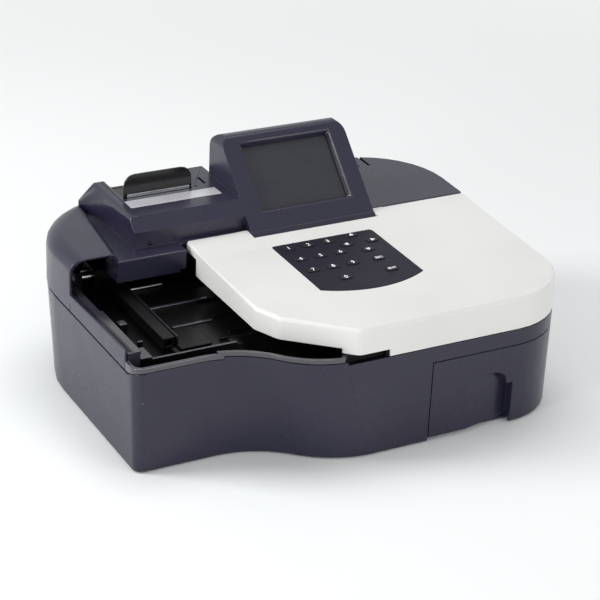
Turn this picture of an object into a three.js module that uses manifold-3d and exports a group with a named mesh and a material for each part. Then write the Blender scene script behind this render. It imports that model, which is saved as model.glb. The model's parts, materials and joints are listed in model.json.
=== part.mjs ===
// Bench-top urine analyzer: a low, wide instrument with a strip tray on the left, a hinged white lid with a
// keypad, a raised colour display, a small receipt printer and a waste drawer that pulls out to the right.
// Millimetres, +Z up, +X to the right, +Y to the back. The origin is under the middle of the body, on the bench.
import * as THREE from 'three';
import { mergeVertices } from 'three/addons/utils/BufferGeometryUtils.js';
import { ConvexGeometry } from 'three/addons/geometries/ConvexGeometry.js';
import Module from 'manifold-3d';

const wasm = await Module();
wasm.setup();

// Clearances and cutters
const seat = 0.3; // between pieces that touch
const slack = 0.5; // round pieces that move
const overcut = 6; // cutters run this far past what they cut
const overlap = 0.4; // pieces that are fused run this far into each other

// Body
const bodyWidth = 393;
const bodyDepth = 314;
const wall = 2.6;
const footHeight = 1;
const baseInset = 0.8; // draft: the lower edge stands this far inside the rim
const baseEdge = 0.9; // rounding of the lower edge
const floorThickness = 2.6;
const left = -bodyWidth / 2;
const right = bodyWidth / 2;
const front = -bodyDepth / 2;
const rear = bodyDepth / 2;

// Body outline in plan: the left front stands back, and an S-shaped waist leads out to the right front
const rearLeftLow = 107; // rear left corner at the foot
const rearLeftHigh = 90; // and at the rim
const rearRightRadius = 75;
const sideFlare = 4; // how much further out the right side stands at the back
const frontLeftRadius = 9;
const leastCorner = 1;
const frontRightRadius = 64;
const stepLow = 50;
const stepHigh = 52.5;
const waistLow = 133; // middle of the waist from the left side, at the foot
const waistHigh = 114; // and at the rim
const waistTurnLow = THREE.MathUtils.degToRad(44);
const waistTurnHigh = THREE.MathUtils.degToRad(50);
const cornerSteps = 9;
const smallSteps = 4;

// Heights
const deckHeight = 125.5;
const deckRise = 3.5; // how much higher the deck is along its rear edge
const partingHeight = deckHeight - 35.5; // joint line between the lower and the upper housing, along the front
const partingDrop = 3.5; // how much lower that line is along the sides
const partingKnee = front + stepHigh; // where the line starts to fall
const partingFall = 14; // and how far back it has fallen
const rimHeight = partingHeight + 6;
const waistRimHeight = rimHeight - 3.6;
const bandHeight = partingHeight + 10;
const bandWallFront = bandHeight + 4.6; // top of the wall outside the left ledge, at its front end
const bandWallRear = bandHeight + 1.3; // and at the printer bridge
const ledgeHeight = deckHeight - 1.5;
const shoulderHeight = deckHeight + 7;
const blockHeight = deckHeight + 24;
const towerHeight = deckHeight + 66;

// Upper housing in plan
const coverFront = rear - 126; // front plane of the printer bridge, over the strip tray
const bridgeFront = rear - 108; // front wall of the printer block
const lidBayRear = rear - 111; // front edge of the deck behind the lid
const bandWidth = 13.5;
const bandFront = coverFront - 116.5;
const lipWidth = 3.2;
const lipEnd = left + 78; // where the front lip runs out into the waist
const lipHeight = partingHeight + 4.7;
const waistStrip = { start: lipEnd - 5.5, top: rimHeight + 1 }; // black strip over the rim, along the waist
const surround = {
  inset: 4.4, // inner face of its upright wall, from the body's outline
  edge: 1.5, // rounding along the ledge
  groove: 5, // from the outer side
  grooveWidth: 1.6,
  grooveDepth: 1.5,
  padLeft: 7.6,
  padOver: 1,
  padHeight: 0.8,
  padRear: coverFront - 37,
};
const bridgeLeft = left + 43.5;
const bridgeRight = left + 108.5;
const bridgeBottom = bandHeight + 3.5;
const bridgeReturn = 27; // depth of the side wall beside the tray cavity
const shoulderDrop = 11.5;
const shoulderReach = 14;
const shoulderSteps = 5;
const rightRoundShare = 0.4; // of the shoulder's reach, for the edge along the right side
const valley = { rearX: left + 57.5, slope: 7.5, steps: 4 }; // hollow between the shoulder and the printer block

// Printer block
const blockLeft = left + 68.5;
const blockRear = rear - 13;
const blockStrip = { depth: 11, height: 10.5 }; // sloping strip over the front wall
const blockGroove = { in: 6.6, width: 0.6, depth: 0.6 }; // fine line along the left edge of the top
// The block's left wall flares out to the back: how far behind the front wall, how far out, how far below the top
const blockFlare = [
  { back: 0, out: 1.2, drop: blockStrip.height },
  { back: blockStrip.depth, out: 1.4, drop: 2.6 },
  { back: 45, out: 1.8, drop: 5 },
  { back: 63, out: 2.6, drop: 8 },
  { back: 78, out: 5, drop: 11 },
  { back: 88, out: 9, drop: 13.5 },
  { back: blockRear - bridgeFront, out: 14.4, drop: 14.6 },
];

// Display tower
const tower = {
  left: left + 172.8,
  width: 123.6,
  tip: rear - 123.3,
  foot: 3.4, // the face runs on this far below the ledge's height
  lean: THREE.MathUtils.degToRad(44),
  rear: rear - 33,
  topRadius: 16,
  browRadius: 6,
  sideRadius: 9,
  base: 7,
};
const towerRight = tower.left + tower.width;
const towerToe = tower.tip - tower.foot / Math.tan(tower.lean);

// Display window, measured on the sloping face from its lower left corner
const screen = {
  left: 17.3,
  bottom: 21.7,
  width: 90.5,
  height: 67.3,
  reveal: 3,
  depth: 6,
  frame: 4,
  glass: 1.6,
  module: 5,
  margin: 1.6,
};

// Lid
const lid = {
  left: left + 113.5,
  rear: rear - 113.5,
  radius: 3.4,
  backProud: 0.8, // how far the rear edge stands over the deck
  creaseRear: rear - 147,
  creaseRearDrop: 2.5, // crown heights below the deck, from back to front
  creaseFront: front + 39,
  creaseFrontDrop: 4.9,
  frontDrop: 6,
  leftEdge: bandHeight + 1,
  flange: 9, // the rear edge reaches this far below the deck
  shoulder: front + 69,
  shoulderRadius: 8,
  elbow: front + 45,
  elbowRadius: 16,
  elbowIn: 10,
  noseIn: 61,
  noseRadius: 10,
  heel: 7, // the left wall ends this far before the printer bridge
};
const notch = { left: left + 164.7, width: 38.8, height: 6.5, deep: 6 };
const lidRun = slack;

// Lid hinge
const hinge = { y: lid.rear - 2, z: ledgeHeight, pin: 1.5, ear: 3.2, earLength: 12, pinIn: 9, beamFront: 5.4, beamDrop: 5 };

// Keypad
const pad = {
  left: left + 178.7,
  width: 99.4,
  rear: rear - 147.4,
  depth: 90,
  bulge: 13.5,
  corner: 3,
  pocket: 1.2,
  thickness: 1.15,
  ledge: 1.5,
  board: 1.6,
};
const columnShare = 0.194; // of the keypad's width, from key to key
const arrowShare = 0.129; // of the keypad's width, from the arrows' centre to a side arrow
const arrowsShare = 0.766; // of the keypad's width, from its left edge to the arrows' centre
const key = {
  width: 11.5,
  depth: 6.4,
  proud: 0.9,
  flange: 0.6,
  flangeHeight: 0.5,
  pitchX: pad.width * columnShare,
  pitchY: 22.7,
};
const keyFirst = { x: 12, y: 9.6 }; // centre of the key 1 from the rear left corner of the keypad
const arrows = { x: pad.width * arrowsShare, y: 21, reachX: pad.width * arrowShare, reachY: 15.3 };

// Strip tray
const drawerBayLeft = right - 147.2;
const tray = {
  top: partingHeight - 8,
  thickness: 2.5,
  clear: 1,
  right: drawerBayLeft - 5.3,
  rear: rear - 37,
  frontWall: front + 74.6,
  frontWallLeft: bandWidth + 2,
  frontWallLength: 86,
  wallThickness: 2.4,
  wallHeight: 8,
  ribLeft: left + 110,
  ribHeight: 2.4,
  ribWidth: 1.6,
  ribPitch: 31,
  ribs: 4,
};
// Small forms on the tray bed: a low plate beside the pusher, a bracket in the front left corner, two tabs by the left
// side, a block at the end of the front wall and a low rail behind that block
const trayForms = [
  { x: left + 58.5, width: 28, y: front + 91, depth: 31, height: tray.ribHeight },
  { x: left + tray.frontWallLeft, width: 10, y: tray.frontWall, depth: 18.5, height: 10 },
  { x: left + 22, width: 7, y: front + 133, depth: 8.3, height: 12 },
  { x: left + 23.5, width: 4.5, y: front + 99, depth: 2, height: 12 },
  { x: left + 98.5, width: 9, y: tray.frontWall, depth: 11.4, height: 6 },
  { x: left + 95.5, width: 35.5, y: front + 95, depth: 1.6, height: tray.ribHeight },
];

// Strip pusher, its guide rod, its screw and its motor
const pusher = {
  left: left + 43.5,
  width: 11,
  front: rear - 220,
  bottom: tray.top + 3,
  height: 10,
  socket: 5,
  socketDepth: 12,
  blade: 1.2,
  bladeProud: 1.2,
  carriageWidth: 26,
  carriageFront: rear - 95,
  carriageDepth: 26,
  carriageHeight: 19,
};
const guide = { y: rear - 87, z: tray.top + 14, radius: 3, start: left + 19, end: left + 168 };
const screw = { y: rear - 76, radius: 2.5 };
const bracket = { width: 6, depth: 24, height: 21 };
const motor = { length: 30, width: 28, boss: 11, bossLength: 2 };

// Measuring head and its rod
const head = {
  left: left + 151.5,
  width: 61,
  front: rear - 182,
  depth: 40,
  bottom: tray.top + 5,
  height: 18,
  rodX: left + 206.5,
  rodRadius: 3,
  rodFront: rear - 243,
  rodRear: rear - 96,
  postWidth: 12,
  postDepth: 7,
  windowLength: 24,
  windowWidth: 8,
  windowDepth: 2,
};

// Waste drawer, its bay, its liner and the deck over it
const drawer = {
  left: drawerBayLeft,
  rear: rear - 127,
  bottom: footHeight + 3.1,
  top: partingHeight - 15,
  tubTop: partingHeight - 27.4,
  tubWall: 2,
  floorSetBack: 8,
  gripLeft: right - 116,
  gripRight: right - 65.5,
  gripDepth: 10,
  gripTop: partingHeight - 36,
  gripShoulder: partingHeight - 50,
  skirtLeft: right - 70, // right of this the front skin reaches further down
  skirtBottom: footHeight + 0.6,
};
const liner = { left: 6, width: 108, front: 18, wall: 1.5, rimDrop: 8, corner: 8 };
const chute = { left: 12, width: 36, front: 70, rear: 8, drop: 15, wall: 1.6 };

// Printer
const bay = { left: left + 79, width: 66, front: rear - 57.2, rear: rear - 15.8, rearDrop: 9.5 };
const printer = { floor: blockHeight - 40, wall: 2, front: 17, flange: 3 };
const paper = { radius: 14.5, core: 6, width: 57.5 };
const platen = { radius: 4, shaft: 1.8, width: 58, drop: 10.5, setBack: 4.5 };
const printHead = { thickness: 3, height: 16, gap: 0.6 };
const cover = { plate: 2.2, drop: 8.3, visorHeight: 21, visorRadius: 10.5, hinge: 2, pin: 1.2 };
const tearBar = { height: 3, thickness: 1, margin: 3 };
const strip = { left: left + 76.5, width: 87, front: rear - 79.5, depth: 15, recess: 0.5, proud: 0.4 };
const led = { x: left + 81.7, z: ledgeHeight + 2.6, radius: 1.5, proud: 0.5, length: 5 };

// Electronics
const post = { radius: 4, boardRadius: 3 };
const board = { left: left + 50, width: 130, front: rear - 121, depth: 100, lift: 8, thickness: 1.6, inset: 8 };
const supply = { left: right - 131, width: 90, front: rear - 118, depth: 86, height: 40 };

// Rear sockets, seen from behind
const rearFlatRight = right + sideFlare - rearRightRadius;
const inlet = {
  x: rearFlatRight - 48,
  z: 34,
  width: 27,
  height: 20,
  depth: 22,
  flange: 3,
  flangeThickness: 1.2,
  cavity: 13,
};
const rocker = {
  x: rearFlatRight - 14,
  width: 13,
  height: 20,
  depth: 14,
  proud: 2,
  tiltShare: 0.16,
  gap: 1,
  pin: 1.2,
  frame: 2.5,
  flange: 2,
  flangeThickness: 1.2,
};
const serial = { x: inlet.x - 36, width: 17, height: 8, depth: 9, flange: 6, flangeThickness: 1.2, cavity: 6 };
const vent = { first: left + 90, pitch: 7, width: 2.6, height: 26, bottom: 30, count: 9 };

// Small marks on the deck and on the printer block
const deckSlit = { x: right - 49, front: rear - 26, width: 2.6, depth: 1.2, markX: -9, markRadius: 1.4 };
const blockSlit = { x: left + 158.5, front: rear - 53, length: 15 };

// Feet
const foot = { radius: 9, stem: 2.6, inX: 34, inFront: 66, inRear: 40 };

// Shared helpers: geometry

const steps = (count) => Array.from({ length: count + 1 }, (_, i) => i / count);
const mix = THREE.MathUtils.lerp;

function arc(x, y, radius, from, to, count) {
  return steps(count).map((share) => {
    const angle = mix(from, to, share);
    return [x + radius * Math.cos(angle), y + radius * Math.sin(angle)];
  });
}

// A polygon, counter-clockwise, with corners [x, y, radius], moved inwards by inset
function roundedPolygon(corners, inset = 0, count = smallSteps) {
  const points = [];
  const leastShare = 0.15;
  corners.forEach(([x, y, radius], i) => {
    const before = corners.at(i - 1);
    const after = corners[(i + 1) % corners.length];
    const inwards = ([ax, ay], [bx, by]) => {
      const length = Math.hypot(bx - ax, by - ay);
      return [(ay - by) / length, (bx - ax) / length];
    };
    const n1 = inwards(before, [x, y]);
    const n2 = inwards([x, y], after);
    const spread = 1 + n1[0] * n2[0] + n1[1] * n2[1];
    const turn = Math.atan2(n1[0] * n2[1] - n1[1] * n2[0], n1[0] * n2[0] + n1[1] * n2[1]);
    const along = [(n1[0] + n2[0]) / spread, (n1[1] + n2[1]) / spread];
    if (radius === 0) {
      points.push([x + along[0] * inset, y + along[1] * inset]);
      return;
    }
    const side = Math.sign(turn);
    const kept = Math.max(radius - side * inset, radius * leastShare);
    const reach = inset + side * kept;
    const centre = [x + along[0] * reach, y + along[1] * reach];
    const from = Math.atan2(-side * n1[1], -side * n1[0]);
    points.push(...arc(centre[0], centre[1], kept, from, from + turn, count));
  });
  return points;
}

const rectangle = (x0, x1, y0, y1, radius = 0) => [
  [x0, y0, radius],
  [x1, y0, radius],
  [x1, y1, radius],
  [x0, y1, radius],
];

function shapeOf(points) {
  return new THREE.Shape(points.map(([x, y]) => new THREE.Vector2(x, y)));
}

function extrude(points, depth) {
  return new THREE.ExtrudeGeometry(shapeOf(points), { depth, bevelEnabled: false });
}

// Prisms along Z, along X from a [y, z] outline, and along Y from an [x, z] outline
function prismZ(points, z0, z1) {
  return extrude(points, z1 - z0).translate(0, 0, z0);
}

function prismX(points, x0, x1) {
  const turn = new THREE.Matrix4().makeBasis(
    new THREE.Vector3(0, 1, 0), new THREE.Vector3(0, 0, 1), new THREE.Vector3(1, 0, 0));
  return extrude(points, x1 - x0).applyMatrix4(turn).translate(x0, 0, 0);
}

function prismY(points, y0, y1) {
  const turn = new THREE.Matrix4().makeBasis(
    new THREE.Vector3(1, 0, 0), new THREE.Vector3(0, 0, 1), new THREE.Vector3(0, -1, 0));
  return extrude(points, y1 - y0).applyMatrix4(turn).translate(0, y1, 0);
}

function block(x0, x1, y0, y1, z0, z1) {
  const geometry = new THREE.BoxGeometry(x1 - x0, y1 - y0, z1 - z0);
  return geometry.translate((x0 + x1) / 2, (y0 + y1) / 2, (z0 + z1) / 2);
}

function rodX(x0, x1, y, z, radius, sides = 24) {
  const geometry = new THREE.CylinderGeometry(radius, radius, x1 - x0, sides);
  return geometry.rotateZ(-Math.PI / 2).translate((x0 + x1) / 2, y, z);
}

function rodY(y0, y1, x, z, radius, sides = 24) {
  return new THREE.CylinderGeometry(radius, radius, y1 - y0, sides).translate(x, (y0 + y1) / 2, z);
}

function rodZ(z0, z1, x, y, radius, sides = 24) {
  const geometry = new THREE.CylinderGeometry(radius, radius, z1 - z0, sides);
  return geometry.rotateX(Math.PI / 2).translate(x, y, (z0 + z1) / 2);
}

// A solid through level outlines of equal point counts, lowest first; z may depend on the point's y
function stack(sections) {
  const positions = [];
  const faces = [];
  const count = sections[0].points.length;
  for (const { points, z } of sections) {
    for (const [x, y] of points) positions.push(x, y, typeof z === 'function' ? z(y) : z);
  }
  for (let level = 0; level + 1 < sections.length; level += 1) {
    for (let i = 0; i < count; i += 1) {
      const a = level * count + i;
      const b = level * count + ((i + 1) % count);
      faces.push(a, b, b + count, a, b + count, a + count);
    }
  }
  const outline = (points) => points.map(([x, y]) => new THREE.Vector2(x, y));
  for (const [a, b, c] of THREE.ShapeUtils.triangulateShape(outline(sections[0].points), [])) {
    faces.push(c, b, a);
  }
  const top = count * (sections.length - 1);
  for (const [a, b, c] of THREE.ShapeUtils.triangulateShape(outline(sections.at(-1).points), [])) {
    faces.push(top + a, top + b, top + c);
  }
  const geometry = new THREE.BufferGeometry();
  geometry.setAttribute('position', new THREE.Float32BufferAttribute(positions, 3));
  geometry.setIndex(faces);
  return geometry;
}

// Shared helpers: solids

function solid(geometry, matrix) {
  const bare = geometry.clone();
  bare.deleteAttribute('normal');
  bare.deleteAttribute('uv');
  if (matrix) bare.applyMatrix4(matrix);
  const merged = mergeVertices(bare);
  const mesh = new wasm.Mesh({
    numProp: 3,
    vertProperties: new Float32Array(merged.attributes.position.array),
    triVerts: new Uint32Array(merged.index.array),
  });
  mesh.merge();
  return new wasm.Manifold(mesh);
}

const join = (...parts) => parts.reduce((whole, part) => whole.add(part));
const cut = (whole, ...cutters) => cutters.reduce((rest, cutter) => rest.subtract(cutter), whole);
const box = (...corners) => solid(block(...corners));

function toGeometry(manifold) {
  const mesh = manifold.getMesh();
  const geometry = new THREE.BufferGeometry();
  geometry.setAttribute('position', new THREE.BufferAttribute(new Float32Array(mesh.vertProperties), 3));
  geometry.setIndex(new THREE.BufferAttribute(new Uint32Array(mesh.triVerts), 1));
  const faceted = geometry.toNonIndexed();
  faceted.computeVertexNormals();
  return faceted;
}

const analyzer = new THREE.Group();

function finish(colour, roughness, metalness = 0) {
  return new THREE.MeshStandardMaterial({ color: colour, roughness, metalness });
}

const finishes = {
  navy: finish(0x44434f, 0.5),
  white: finish(0xe4e4e2, 0.45),
  black: finish(0x1d1d20, 0.35),
  panel: finish(0x2e2d3a, 0.4),
  keycap: finish(0x262633, 0.35),
  smoke: finish(0x17171a, 0.15),
  glass: finish(0x3c3d3c, 0.2),
  steel: finish(0xb9bbbf, 0.3, 1),
  silver: finish(0xc9c9cb, 0.35, 0.8),
  rubber: finish(0x202020, 0.9),
  circuit: finish(0x1f5a3a, 0.5),
  paper: finish(0xf2f1ec, 0.85),
  grey: finish(0x6d6e73, 0.5),
};

function add(name, shape, material, parent = analyzer) {
  const geometry = shape instanceof THREE.BufferGeometry ? shape : toGeometry(shape);
  const mesh = new THREE.Mesh(geometry, material);
  mesh.name = name;
  parent.add(mesh);
  return mesh;
}

// Body outline and the surfaces that both housings share

// The right side flares out a little between its two rounded corners
const flareRun = bodyDepth - rearRightRadius - frontRightRadius;
const sideAt = (y) => right + sideFlare * (y - front - frontRightRadius) / flareRun;

function rearRightCorner(inset) {
  const x = right + sideFlare - rearRightRadius;
  return arc(x, rear - rearRightRadius, rearRightRadius - inset, 0, Math.PI / 2, cornerSteps);
}

function bodyOutline(inset, lift) {
  const step = mix(stepLow, stepHigh, lift);
  const turn = mix(waistTurnLow, waistTurnHigh, lift);
  const run = step / Math.tan(turn / 2);
  const radius = run / (2 * Math.sin(turn));
  const middle = left + mix(waistLow, waistHigh, lift);
  const stepFront = front + step;
  const quarter = Math.PI / 2;
  const outer = [middle + run / 2, front + radius];
  const corner = Math.max(frontLeftRadius - inset, leastCorner);
  const rearLeft = mix(rearLeftLow, rearLeftHigh, lift);
  return [
    ...arc(left + rearLeft, rear - rearLeft, rearLeft - inset, quarter, 2 * quarter, cornerSteps),
    ...arc(left + inset + corner, stepFront + inset + corner, corner, 2 * quarter, 3 * quarter, smallSteps),
    ...arc(middle - run / 2, stepFront - radius, radius + inset, quarter, quarter - turn, cornerSteps),
    ...arc(outer[0], outer[1], radius - inset, 3 * quarter - turn, 3 * quarter, cornerSteps).slice(1),
    ...arc(right - frontRightRadius, front + frontRightRadius, frontRightRadius - inset,
      3 * quarter, 4 * quarter, cornerSteps),
    ...rearRightCorner(inset),
  ];
}

// The body's outline at a height: drafted below the rim, upright above it
function bodySection(z, inset = 0) {
  const lift = Math.min(z / rimHeight, 1);
  return { points: bodyOutline(inset + baseInset * (1 - lift), lift), z };
}

function bodySolid(inset, z0, z1) {
  const levels = z0 < rimHeight && z1 > rimHeight ? [z0, rimHeight, z1] : [z0, z1];
  return solid(stack(levels.map((z) => bodySection(z, inset))));
}

// A wall that follows the body's outline, between two insets
function outlineShell(outer, inner, z0, z1) {
  return cut(bodySolid(outer, z0, z1), bodySolid(inner, z0 - overcut, z1 + overcut));
}

// All that lies above the joint line, raised by lift
function aboveParting(lift) {
  const low = partingHeight + lift;
  return solid(prismX([
    [front - overcut, low],
    [partingKnee, low],
    [partingKnee + partingFall, low - partingDrop],
    [rear + overcut, low - partingDrop],
    [rear + overcut, towerHeight + overcut],
    [front - overcut, towerHeight + overcut],
  ], left - overcut, right + sideFlare + overcut));
}

// Lower housing: a tub with the drawer bay, posts for the decks and openings for the sockets

const floorTop = footHeight + floorThickness;
const deckSeat = tray.top - tray.thickness - seat;
const feetPlaces = [
  ['foot_front_left', left + foot.inX, front + foot.inFront],
  ['foot_front_right', right - foot.inX - foot.stem, front + foot.inFront],
  ['foot_rear_left', left + foot.inX, rear - foot.inRear],
  ['foot_rear_right', right - foot.inX, rear - foot.inRear],
];
const deckPosts = [
  [left + foot.inX, front + foot.inFront + post.radius * 4],
  [tray.right - post.radius * 3, front + foot.inFront],
  [left + foot.inX, tray.rear - post.radius * 2],
  [tray.right - post.radius * 3, tray.rear - post.radius * 2],
];
const boardCorners = [board.left + board.inset, board.left + board.width - board.inset].flatMap((x) => (
  [board.front + board.inset, board.front + board.depth - board.inset].map((y) => [x, y])));

function wallPort(x, z, width, height) {
  return box(x - width / 2, x + width / 2, rear - wall - overcut, rear + overcut, z - height / 2, z + height / 2);
}

function lowerHousing() {
  const outer = solid(stack([
    bodySection(footHeight, baseEdge),
    bodySection(footHeight + baseEdge),
    bodySection(rimHeight),
    bodySection(shoulderHeight),
  ]));
  const inner = bodySolid(wall, floorTop, shoulderHeight + overcut);
  const waistRim = box(lipEnd, notch.left, front - overcut, front + stepLow + frontLeftRadius, 0, waistRimHeight);
  const opening = cut(aboveParting(0), waistRim);
  const bayWalls = join(
    box(drawer.left - seat - wall, drawer.left - seat, front + wall, drawer.rear + seat + wall, footHeight, deckSeat),
    box(drawer.left - seat - wall, right + overcut, drawer.rear + seat, drawer.rear + seat + wall,
      footHeight, deckSeat),
  ).intersect(bodySolid(wall / 2, footHeight, shoulderHeight));
  const notchRight = notch.left + notch.width - slack;
  const notchPocket = cut(
    box(notch.left - wall, notchRight, front + wall - overlap, front + notch.deep + wall,
      partingHeight - wall, partingHeight + notch.height - seat),
    box(notch.left, notchRight - wall, front, front + notch.deep, partingHeight, shoulderHeight),
  );
  const posts = deckPosts.map(([x, y]) => solid(rodZ(footHeight, deckSeat, x, y, post.radius)));
  const boardPosts = boardCorners.map(([x, y]) => solid(rodZ(footHeight, floorTop + board.lift, x, y, post.boardRadius)));
  const mouth = box(drawer.left, right + overcut, front - overcut, drawer.rear, floorTop, drawer.top + slack);
  const floorEdge = cut(
    box(drawer.left, right + overcut, front - overcut, drawer.rear, 0, floorTop + overlap),
    bodySolid(drawer.floorSetBack, -overcut, shoulderHeight),
  );
  const vents = steps(vent.count - 1).map((share) => {
    const x = vent.first + share * (vent.count - 1) * vent.pitch;
    return box(x, x + vent.width, rear - wall - overcut, rear + overcut, vent.bottom, vent.bottom + vent.height);
  });
  return cut(
    join(cut(outer, inner, opening), bayWalls, notchPocket, ...posts, ...boardPosts),
    mouth,
    floorEdge,
    ...feetPlaces.map(([, x, y]) => solid(rodZ(0, floorTop + overcut, x, y, foot.stem + seat))),
    wallPort(inlet.x, inlet.z, inlet.width + 2 * seat, inlet.height + 2 * seat),
    wallPort(rocker.x, inlet.z, rocker.width + 2 * rocker.frame + 2 * seat, rocker.height + 2 * rocker.frame + 2 * seat),
    wallPort(serial.x, inlet.z, serial.width + 2 * seat, serial.height + 2 * seat),
    ...vents,
  );
}

add('lower_housing', lowerHousing(), finishes.navy);

// Four rubber feet, each with a stem through the floor
const footShape = join(
  solid(rodZ(0, footHeight - seat, 0, 0, foot.radius)),
  solid(rodZ(footHeight / 2, floorTop - seat, 0, 0, foot.stem)),
);
for (const [name, x, y] of feetPlaces) {
  add(name, footShape, finishes.rubber).position.set(x, y, 0);
}

// Upper housing: shoulder shell, printer block, display tower and the wall along the left side

// The edge round the top is wider on the left than on the right
function upperOutline(inset, round = 0) {
  const quarter = Math.PI / 2;
  const leftInset = inset + round;
  const rightInset = inset + round * rightRoundShare;
  return [
    ...arc(left + rearLeftHigh, rear - rearLeftHigh, rearLeftHigh - leftInset, quarter, 2 * quarter, cornerSteps),
    [left + leftInset, coverFront - overcut],
    [sideAt(coverFront - overcut) - rightInset, coverFront - overcut],
    ...rearRightCorner(rightInset),
  ];
}

// The rounded shell between the joint line and the top of the shoulder, shrunk by inset on every side
function shoulderShell(inset) {
  const round = steps(shoulderSteps).map((share) => {
    const angle = share * Math.PI / 2;
    return {
      points: upperOutline(inset, shoulderReach * (1 - Math.cos(angle))),
      z: shoulderHeight - inset - shoulderDrop * (1 - Math.sin(angle)),
    };
  });
  return solid(stack([{ points: upperOutline(inset), z: partingHeight - overcut }, ...round]));
}

// Right of the printer block the top steps down to the deck, which rises a little to the back
const deckSlope = deckRise / (rear - lidBayRear);
const deckTop = (y) => deckHeight + deckSlope * (y - lidBayRear);

function overDeck(drop) {
  const rampLeft = tower.left + tower.width / 4;
  const rampRight = tower.left + tower.width / 2;
  const rise = new THREE.Matrix4().makeShear(0, 0, 0, deckSlope, 0, 0).setPosition(0, 0, -deckSlope * lidBayRear);
  return solid(prismY([
    [rampLeft - drop, shoulderHeight - drop],
    [rampRight - drop, deckHeight - drop],
    [right + 2 * overcut, deckHeight - drop],
    [right + 2 * overcut, shoulderHeight + 2 * overcut],
    [rampLeft - drop, shoulderHeight + 2 * overcut],
  ], coverFront - 2 * overcut, rear + overcut), rise);
}

// The hollow beside the printer block: its floor is as high as the ledge, and its left side rounds up to the shoulder
function shoulderValley(grow) {
  const sections = steps(valley.steps).map((share) => {
    const angle = share * Math.PI / 2;
    const out = valley.slope * (1 - Math.cos(angle)) + grow;
    return {
      points: [
        [bridgeLeft - out, coverFront - 2 * overcut],
        [tower.left, coverFront - 2 * overcut],
        [tower.left, blockRear + grow],
        [valley.rearX - out, blockRear + grow],
      ],
      z: mix(ledgeHeight, shoulderHeight, Math.sin(angle)) - grow,
    };
  });
  return solid(stack([...sections, { points: sections.at(-1).points, z: shoulderHeight + overcut }]));
}

// The printer block: a loft from its foot up the flared left wall and the facet above that wall to the flat top
function printerBlock(inset) {
  const near = bridgeFront + inset;
  const far = blockRear - inset;
  const top = blockHeight - inset;
  const base = ledgeHeight - (inset > 0 ? inset + overcut : wall / 2);
  const backs = blockFlare.map(({ back }) => Math.min(Math.max(bridgeFront + back, near), far));
  const outline = (share) => [
    ...blockFlare.map(({ out }, i) => [blockLeft - out * share + inset, backs[i]]).reverse(),
    [tower.left + wall, near],
    [tower.left + wall, far],
  ];
  const wallTop = (y) => {
    const i = Math.max(1, backs.findIndex((back) => back >= y));
    const share = (y - backs[i - 1]) / (backs[i] - backs[i - 1]);
    return top - mix(blockFlare[i - 1].drop, blockFlare[i].drop, share);
  };
  const loft = solid(stack([
    { points: outline(1), z: base },
    { points: outline(1), z: wallTop },
    { points: outline(0), z: top },
    { points: outline(0), z: top + overcut },
  ]));
  const roof = solid(prismX([
    [near, base - overcut],
    [near, top - blockStrip.height],
    [near + blockStrip.depth, top],
    [far, top],
    [far, base - overcut],
  ], left, right));
  return loft.intersect(roof);
}

// The tower's side view is a wedge whose face leans back; from the front its upper corners are round
function displayTower(inset) {
  const rise = towerHeight - ledgeHeight;
  const faceTop = tower.tip + rise / Math.tan(tower.lean);
  const base = ledgeHeight - tower.base;
  const sideView = [
    [towerToe, ledgeHeight - tower.foot, 0],
    [lidBayRear, ledgeHeight - tower.foot, 0],
    [lidBayRear, base, 0],
    [tower.rear, base, 0],
    [tower.rear, towerHeight, tower.topRadius],
    [faceTop, towerHeight, tower.browRadius],
  ];
  const frontView = [
    [tower.left, base - overcut, 0],
    [towerRight, base - overcut, 0],
    [towerRight, towerHeight, tower.sideRadius],
    [tower.left, towerHeight, tower.sideRadius],
  ];
  const side = solid(prismX(roundedPolygon(sideView, inset, 6), tower.left - overcut, towerRight + overcut));
  return side.intersect(solid(prismY(roundedPolygon(frontView, inset, 5), towerToe - overcut, rear)));
}

// The tower's face as a frame of its own: x to the right, y up the slope, z out of the face
const facePlace = new THREE.Matrix4()
  .makeRotationX(tower.lean)
  .setPosition(tower.left, tower.tip, ledgeHeight);

function screenOutline(grow) {
  return roundedPolygon(rectangle(
    screen.left - grow, screen.left + screen.width + grow,
    screen.bottom - grow, screen.bottom + screen.height + grow));
}

function screenPlate(grow, near, far) {
  return solid(prismZ(screenOutline(grow), -far, -near), facePlace);
}

const screenFunnel = solid(stack([
  { points: screenOutline(-screen.reveal), z: -screen.depth - overcut },
  { points: screenOutline(-screen.reveal), z: -screen.depth },
  { points: screenOutline(0), z: 0 },
  { points: screenOutline(0), z: overcut },
]), facePlace);

const backOpening = {
  left: tower.left + tower.sideRadius,
  right: towerRight - tower.sideRadius,
  bottom: deckHeight + tower.sideRadius,
  top: towerHeight - tower.topRadius - wall,
};

const bayRight = bay.left + bay.width;
const hingePins = [
  ['hinge_pin_left', tower.left - hinge.pinIn, tower.left + hinge.pinIn],
  ['hinge_pin_right', towerRight - hinge.pinIn, towerRight + hinge.pinIn],
];

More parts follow.
